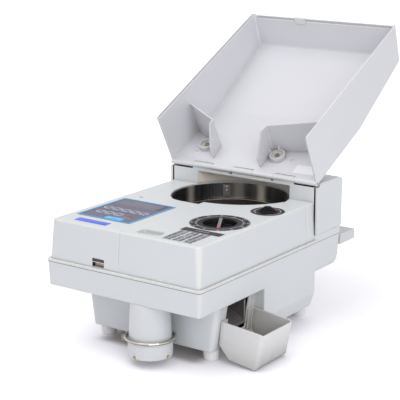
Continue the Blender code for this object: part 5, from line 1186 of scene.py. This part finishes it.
class COINCOUNTER_OT_bowl_fittings(PieceOperator, Operator):
    """Thin ring round the coin disc, strip beside the chute and caps of the strap's rivets"""

    bl_idname = "coin_counter.bowl_fittings"
    bl_label = "Bowl fittings"

    def execute(self, context):
        centre, reach, top = round_part("coin_disc")
        ring = ring_shape(centre, reach - 0.0034, reach - 0.0004, top + SHEET_LIFT, top + 0.0005)
        piece("disc_edge_ring", [ring], "rivet_steel", "disc")
        base_bars("chute_strip", [at(0.1270, 0.1702).xy], 0.0016, 0.0014, 0.050, 0.088,
                  "rivet_steel", "steel")
        away = middle("ring_strap") - centre
        cap = turned_shape((0, 0), [(0.0, 0.0009), (0.0009, 0.0008), (0.0017, 0.0005),
                                    (0.0021, 0.0001)])
        caps = []
        for drop in (0.0036, 0.0104):
            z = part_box("ring_strap")[1].z - drop
            grid = np.stack([RIVET_FACE - cap[..., 2], cap[..., 0], cap[..., 1] + z], -1)
            caps.append(shape(placed(grid, centre, math.atan2(away.y, away.x)), caps=True))
        piece("strap_rivet_caps", caps, "rivet_steel", "base")
        return {"FINISHED"}


class COINCOUNTER_OT_gap_shade_and_light(PieceOperator, Operator):
    """Dark sheets of painted shade in the tower's side slots and the gap under the hinge, a pale
    sheet of painted warm light in its recess, and its rests
    """

    bl_idname = "coin_counter.gap_linings"
    bl_label = "Gap shade and light"

    def execute(self, context):
        walls = [at(x, SLOT_Y).xy for x in (-0.15318, 0.15012)]
        # Dark sheets: painted shade in the tower's side slots.
        base_bars("slot_linings", walls, 0.0002, 0.0076, *SLOT_HEIGHTS, "gap_lining", "black")
        lift = TOWER_TOP + SHEET_LIFT
        rests = [at(x, 0.3556).xy for x in (-0.0470, 0.0410)]
        base_bars("hinge_rests", rests, [0.0400, 0.0395], 0.0060, lift, 0.2490, "shell_plastic",
                  "shell")
        # A warm pale sheet in the tower's recess paints the light there.
        lining = ring_shape(at(*RECESS_CENTRE), 0.1056, 0.1059, *RECESS_HEIGHTS, 64, RECESS_FRONT,
                            TURN / 2 - RECESS_FRONT)
        piece("recess_lining", [lining], "recess_plastic", "base")
        # Dark sheets: painted shadow in the gap under the hinge.
        shelves = [at(x, 0.3563).xy for x in (-0.1290, 0.1240)]
        base_bars("shelf_linings", shelves, [0.0400, 0.0500], 0.0080, lift, TOWER_TOP + 0.0002,
                  "gap_lining", "black")
        return {"FINISHED"}


class COINCOUNTER_OT_tray_rim(PieceOperator, Operator):
    """Painted shade band, and painted highlight line and edge, of the step inside the tray's rim"""

    bl_idname = "coin_counter.tray_rim"
    bl_label = "Tray rim"

    def bars(self, spots, angle, length, width, low, high):
        """Bars at heights above the closed tray's rim, turned to where the tray rests open."""
        points, faces = bars_shape([at(x, y).xy for x, y in spots], [angle] * len(spots), length,
                                   width, RIM_Z + low, RIM_Z + high)
        return opened(points), faces

    def execute(self, context):
        low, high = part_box("tray_pan")
        half = (high.x - low.x) / 2 - RIM_STEP
        front = 2 * half - 0.0200
        # Each piece's side bars and its front bar: place, length, width and both heights.
        for name, ink, sides, fronts in (
                ("tray_rim_band", "rim_shade", (0.00007, 0.1780, 0.3400, 0.0001, 0.0002, 0.0043),
                 [(0.0010, front, 0.0010, 0.0047, 0.0095)]),
                ("tray_rim_line", "rim_line", (0.0007, 0.1780, 0.3400, 0.0011, 0.0041, 0.00445),
                 [(0.0014, front, 0.0010, 0.0095, 0.0112)]),
                ("tray_rim_edge", "rim_line",
                 (-0.00065, 0.1790, 0.3440, 0.00125, -SHEET_LIFT, 0.0003), [])):
            inset, y, *size = sides
            shapes = [self.bars([(inset - half, y), (half - inset, y)], TURN / 4, *size)]
            shapes += [self.bars([(0.0, y)], 0.0, *size) for y, *size in fronts]
            piece(name, shapes, ink, "tray")
        return {"FINISHED"}


class COINCOUNTER_OT_stage(PieceOperator, Operator):
    """Floor, surround, lamps and camera"""

    bl_idname = "coin_counter.stage"
    bl_label = "Stage"

    def execute(self, context):
        settings = stage_settings()
        self.make_floor(settings)
        self.make_surround(settings)
        self.make_lamp("key_lamp", at(-0.6, -0.4, 2.8), 2.2, settings.key_power,
                       (0.985, 0.985, 1.0))
        self.make_lamp("fill_lamp", at(2.15, -1.35, 1.5), 2.0, settings.fill_power,
                       (0.97, 0.98, 1.0))
        self.make_camera(settings)
        context.scene.view_settings.view_transform = "Standard"
        return {"FINISHED"}

    def make_floor(self, settings):
        """A flat sheet: point = (x, y, 0) on an even grid of 1 m."""
        reach = np.linspace(-7.0, 7.0, 15)
        x, y = np.meshgrid(reach, reach, indexing="ij")
        points, faces = shape(np.stack([x, y, np.zeros_like(x)], -1), wrap_columns=False)
        mesh = bpy.data.meshes.new("floor")
        mesh.from_pydata(points.tolist(), [], faces)
        mesh.materials.append(self.floor_paint(settings))
        floor = bpy.data.objects.new("floor", mesh)
        bpy.context.scene.collection.objects.link(floor)

    def floor_paint(self, settings):
        """White paint that turns whiter away from the object, with painted shadow below and beside
        it.

        Below = a painted shadow patch under the lower body, near = that patch or the painted
        shadow of hollows beside the object, and the glow that is seen rises with the distance and
        leaves out what is near.
        """
        white = paint("F2F1F6")
        material, tree, shader = start_finish("floor_paint", white, 0.9, specular=0.1)
        away = add_node(tree, "VectorMath", {0: object_place(tree), 1: at(-0.03, 0.27)},
                        operation="DISTANCE")["Value"]
        rising = spread(away, 0.20, 0.85, settings.floor_glow * 0.95, settings.floor_glow * 2.2)
        shadow_beside = times(use_group(tree, "cavity_dust", Distance=0.08)["Mask"], 0.6)
        body = at(0.0, BODY_MIDDLE_Y)
        offsets = [maths("ABSOLUTE", maths("SUBTRACT", along(tree, way), start))
                   for way, start in (((1.0, 0.0, 0.0), body.x), ((0.0, 1.0, 0.0), body.y))]
        shadow_below = times(spread(offsets[0], 0.085, 0.122, 0.85, 0.0),
                      spread(offsets[1], 0.143, 0.172, 1.0, 0.0))
        near = maths("MAXIMUM", shadow_beside, shadow_below)
        # Painted shadow on the floor: lavender grey beside the object and brown grey under the
        # lower body.
        shaded = mixed(near, white, paint("D8D5E6"))
        feed(shader["Base Color"], mixed(shadow_below, shaded, paint("AAA39C")))
        rising = times(rising, maths("SUBTRACT", 1.0, near))
        feed(shader["Emission Color"], times(self.seen_rays(tree), rising))
        feed(shader["Emission Strength"], 1.0)
        return material

    def seen_rays(self, tree):
        """1 for the rays of the camera, of mirrors and of clear parts, else 0."""
        light = add_node(tree, "LightPath", {})
        seen = maths("MAXIMUM", light["Is Camera Ray"], light["Is Transmission Ray"])
        return maths("MAXIMUM", seen, light["Is Glossy Ray"])

    def make_surround(self, settings):
        """White for the camera and for mirrors, and an even pale light on the object."""
        world = bpy.data.worlds.new("surround")
        bpy.context.scene.world = world
        world.use_nodes = True
        tree = world.node_tree
        tree.nodes.clear()
        cast = add_node(tree, "Background", {"Color": (0.985, 0.985, 1.0),
                                             "Strength": settings.sky})[0]
        seen = add_node(tree, "Background", {"Color": (1.0, 1.0, 1.0), "Strength": 1.0})[0]
        mix = add_node(tree, "MixShader", {0: self.seen_rays(tree), 1: cast, 2: seen})[0]
        add_node(tree, "OutputWorld", {"Surface": mix})

    def make_lamp(self, name, place, size, power, colour):
        """A round lamp that points at the middle of the object."""
        data = bpy.data.lights.new(name, "AREA")
        data.shape = "DISK"
        data.size = size
        data.energy = power
        data.color = colour
        lamp = bpy.data.objects.new(name, data)
        lamp.location = place
        lamp.rotation_euler = (at(0.0, 0.25, 0.2) - place).to_track_quat("-Z", "Y").to_euler()
        bpy.context.scene.collection.objects.link(lamp)

    def make_camera(self, settings):
        """The camera recovered from the casing's edges, with the photograph's framing."""
        data = bpy.data.cameras.new("camera")
        data.sensor_width = 36.0
        data.lens = settings.focal
        data.shift_x = -0.00051975
        data.shift_y = 0.00044263
        data.clip_end = 50.0
        camera = bpy.data.objects.new("camera", data)
        camera.location = at(1.28678490, -1.59521060, 0.801043487)
        camera.rotation_euler = Euler((1.3192898035, -0.0009830374, 0.6160964370), "XYZ")
        bpy.context.scene.collection.objects.link(camera)
        bpy.context.scene.camera = camera


OPERATORS = (
    COINCOUNTER_OT_stage, COINCOUNTER_OT_node_finishes, COINCOUNTER_OT_panel_print,
    COINCOUNTER_OT_key_marks, COINCOUNTER_OT_badge_plate, COINCOUNTER_OT_coin_table,
    COINCOUNTER_OT_dial_scales, COINCOUNTER_OT_knob_pointers, COINCOUNTER_OT_outlet_fittings,
    COINCOUNTER_OT_tray_sheet, COINCOUNTER_OT_casing_screws, COINCOUNTER_OT_ridge_line,
    COINCOUNTER_OT_catch_fittings, COINCOUNTER_OT_bowl_fittings, COINCOUNTER_OT_gap_shade_and_light,
    COINCOUNTER_OT_tray_rim,
)


class COINCOUNTER_PT_panel(Panel):
    """Lists the settings and the pieces"""

    bl_label = "Coin counter"
    bl_idname = "COINCOUNTER_PT_panel"
    bl_space_type = "VIEW_3D"
    bl_region_type = "UI"
    bl_category = "Coin counter"

    def draw(self, context):
        layout = self.layout
        for group in (finishes(), prints(), stage_settings()):
            box = layout.box()
            for name in group.bl_rna.properties.keys():
                if name not in ("rna_type", "name"):
                    box.prop(group, name)
        for operator in OPERATORS:
            layout.operator(operator.bl_idname)


GROUPS = {"coin_counter_finishes": CoinCounterFinishes, "coin_counter_print": CoinCounterPrint,
          "coin_counter_stage": CoinCounterStage}


def register():
    for name, group in GROUPS.items():
        bpy.utils.register_class(group)
        setattr(bpy.types.Scene, name, bpy.props.PointerProperty(type=group))
    for item in (*OPERATORS, COINCOUNTER_PT_panel):
        bpy.utils.register_class(item)


def unregister():
    for item in reversed((*OPERATORS, COINCOUNTER_PT_panel)):
        bpy.utils.unregister_class(item)
    for name, group in reversed(GROUPS.items()):
        delattr(bpy.types.Scene, name)
        bpy.utils.unregister_class(group)


def main():
    """Make every piece in order."""
    register()
    for operator in OPERATORS:
        family, name = operator.bl_idname.split(".")
        getattr(getattr(bpy.ops, family), name)()


if __name__ == "__main__":
    main()
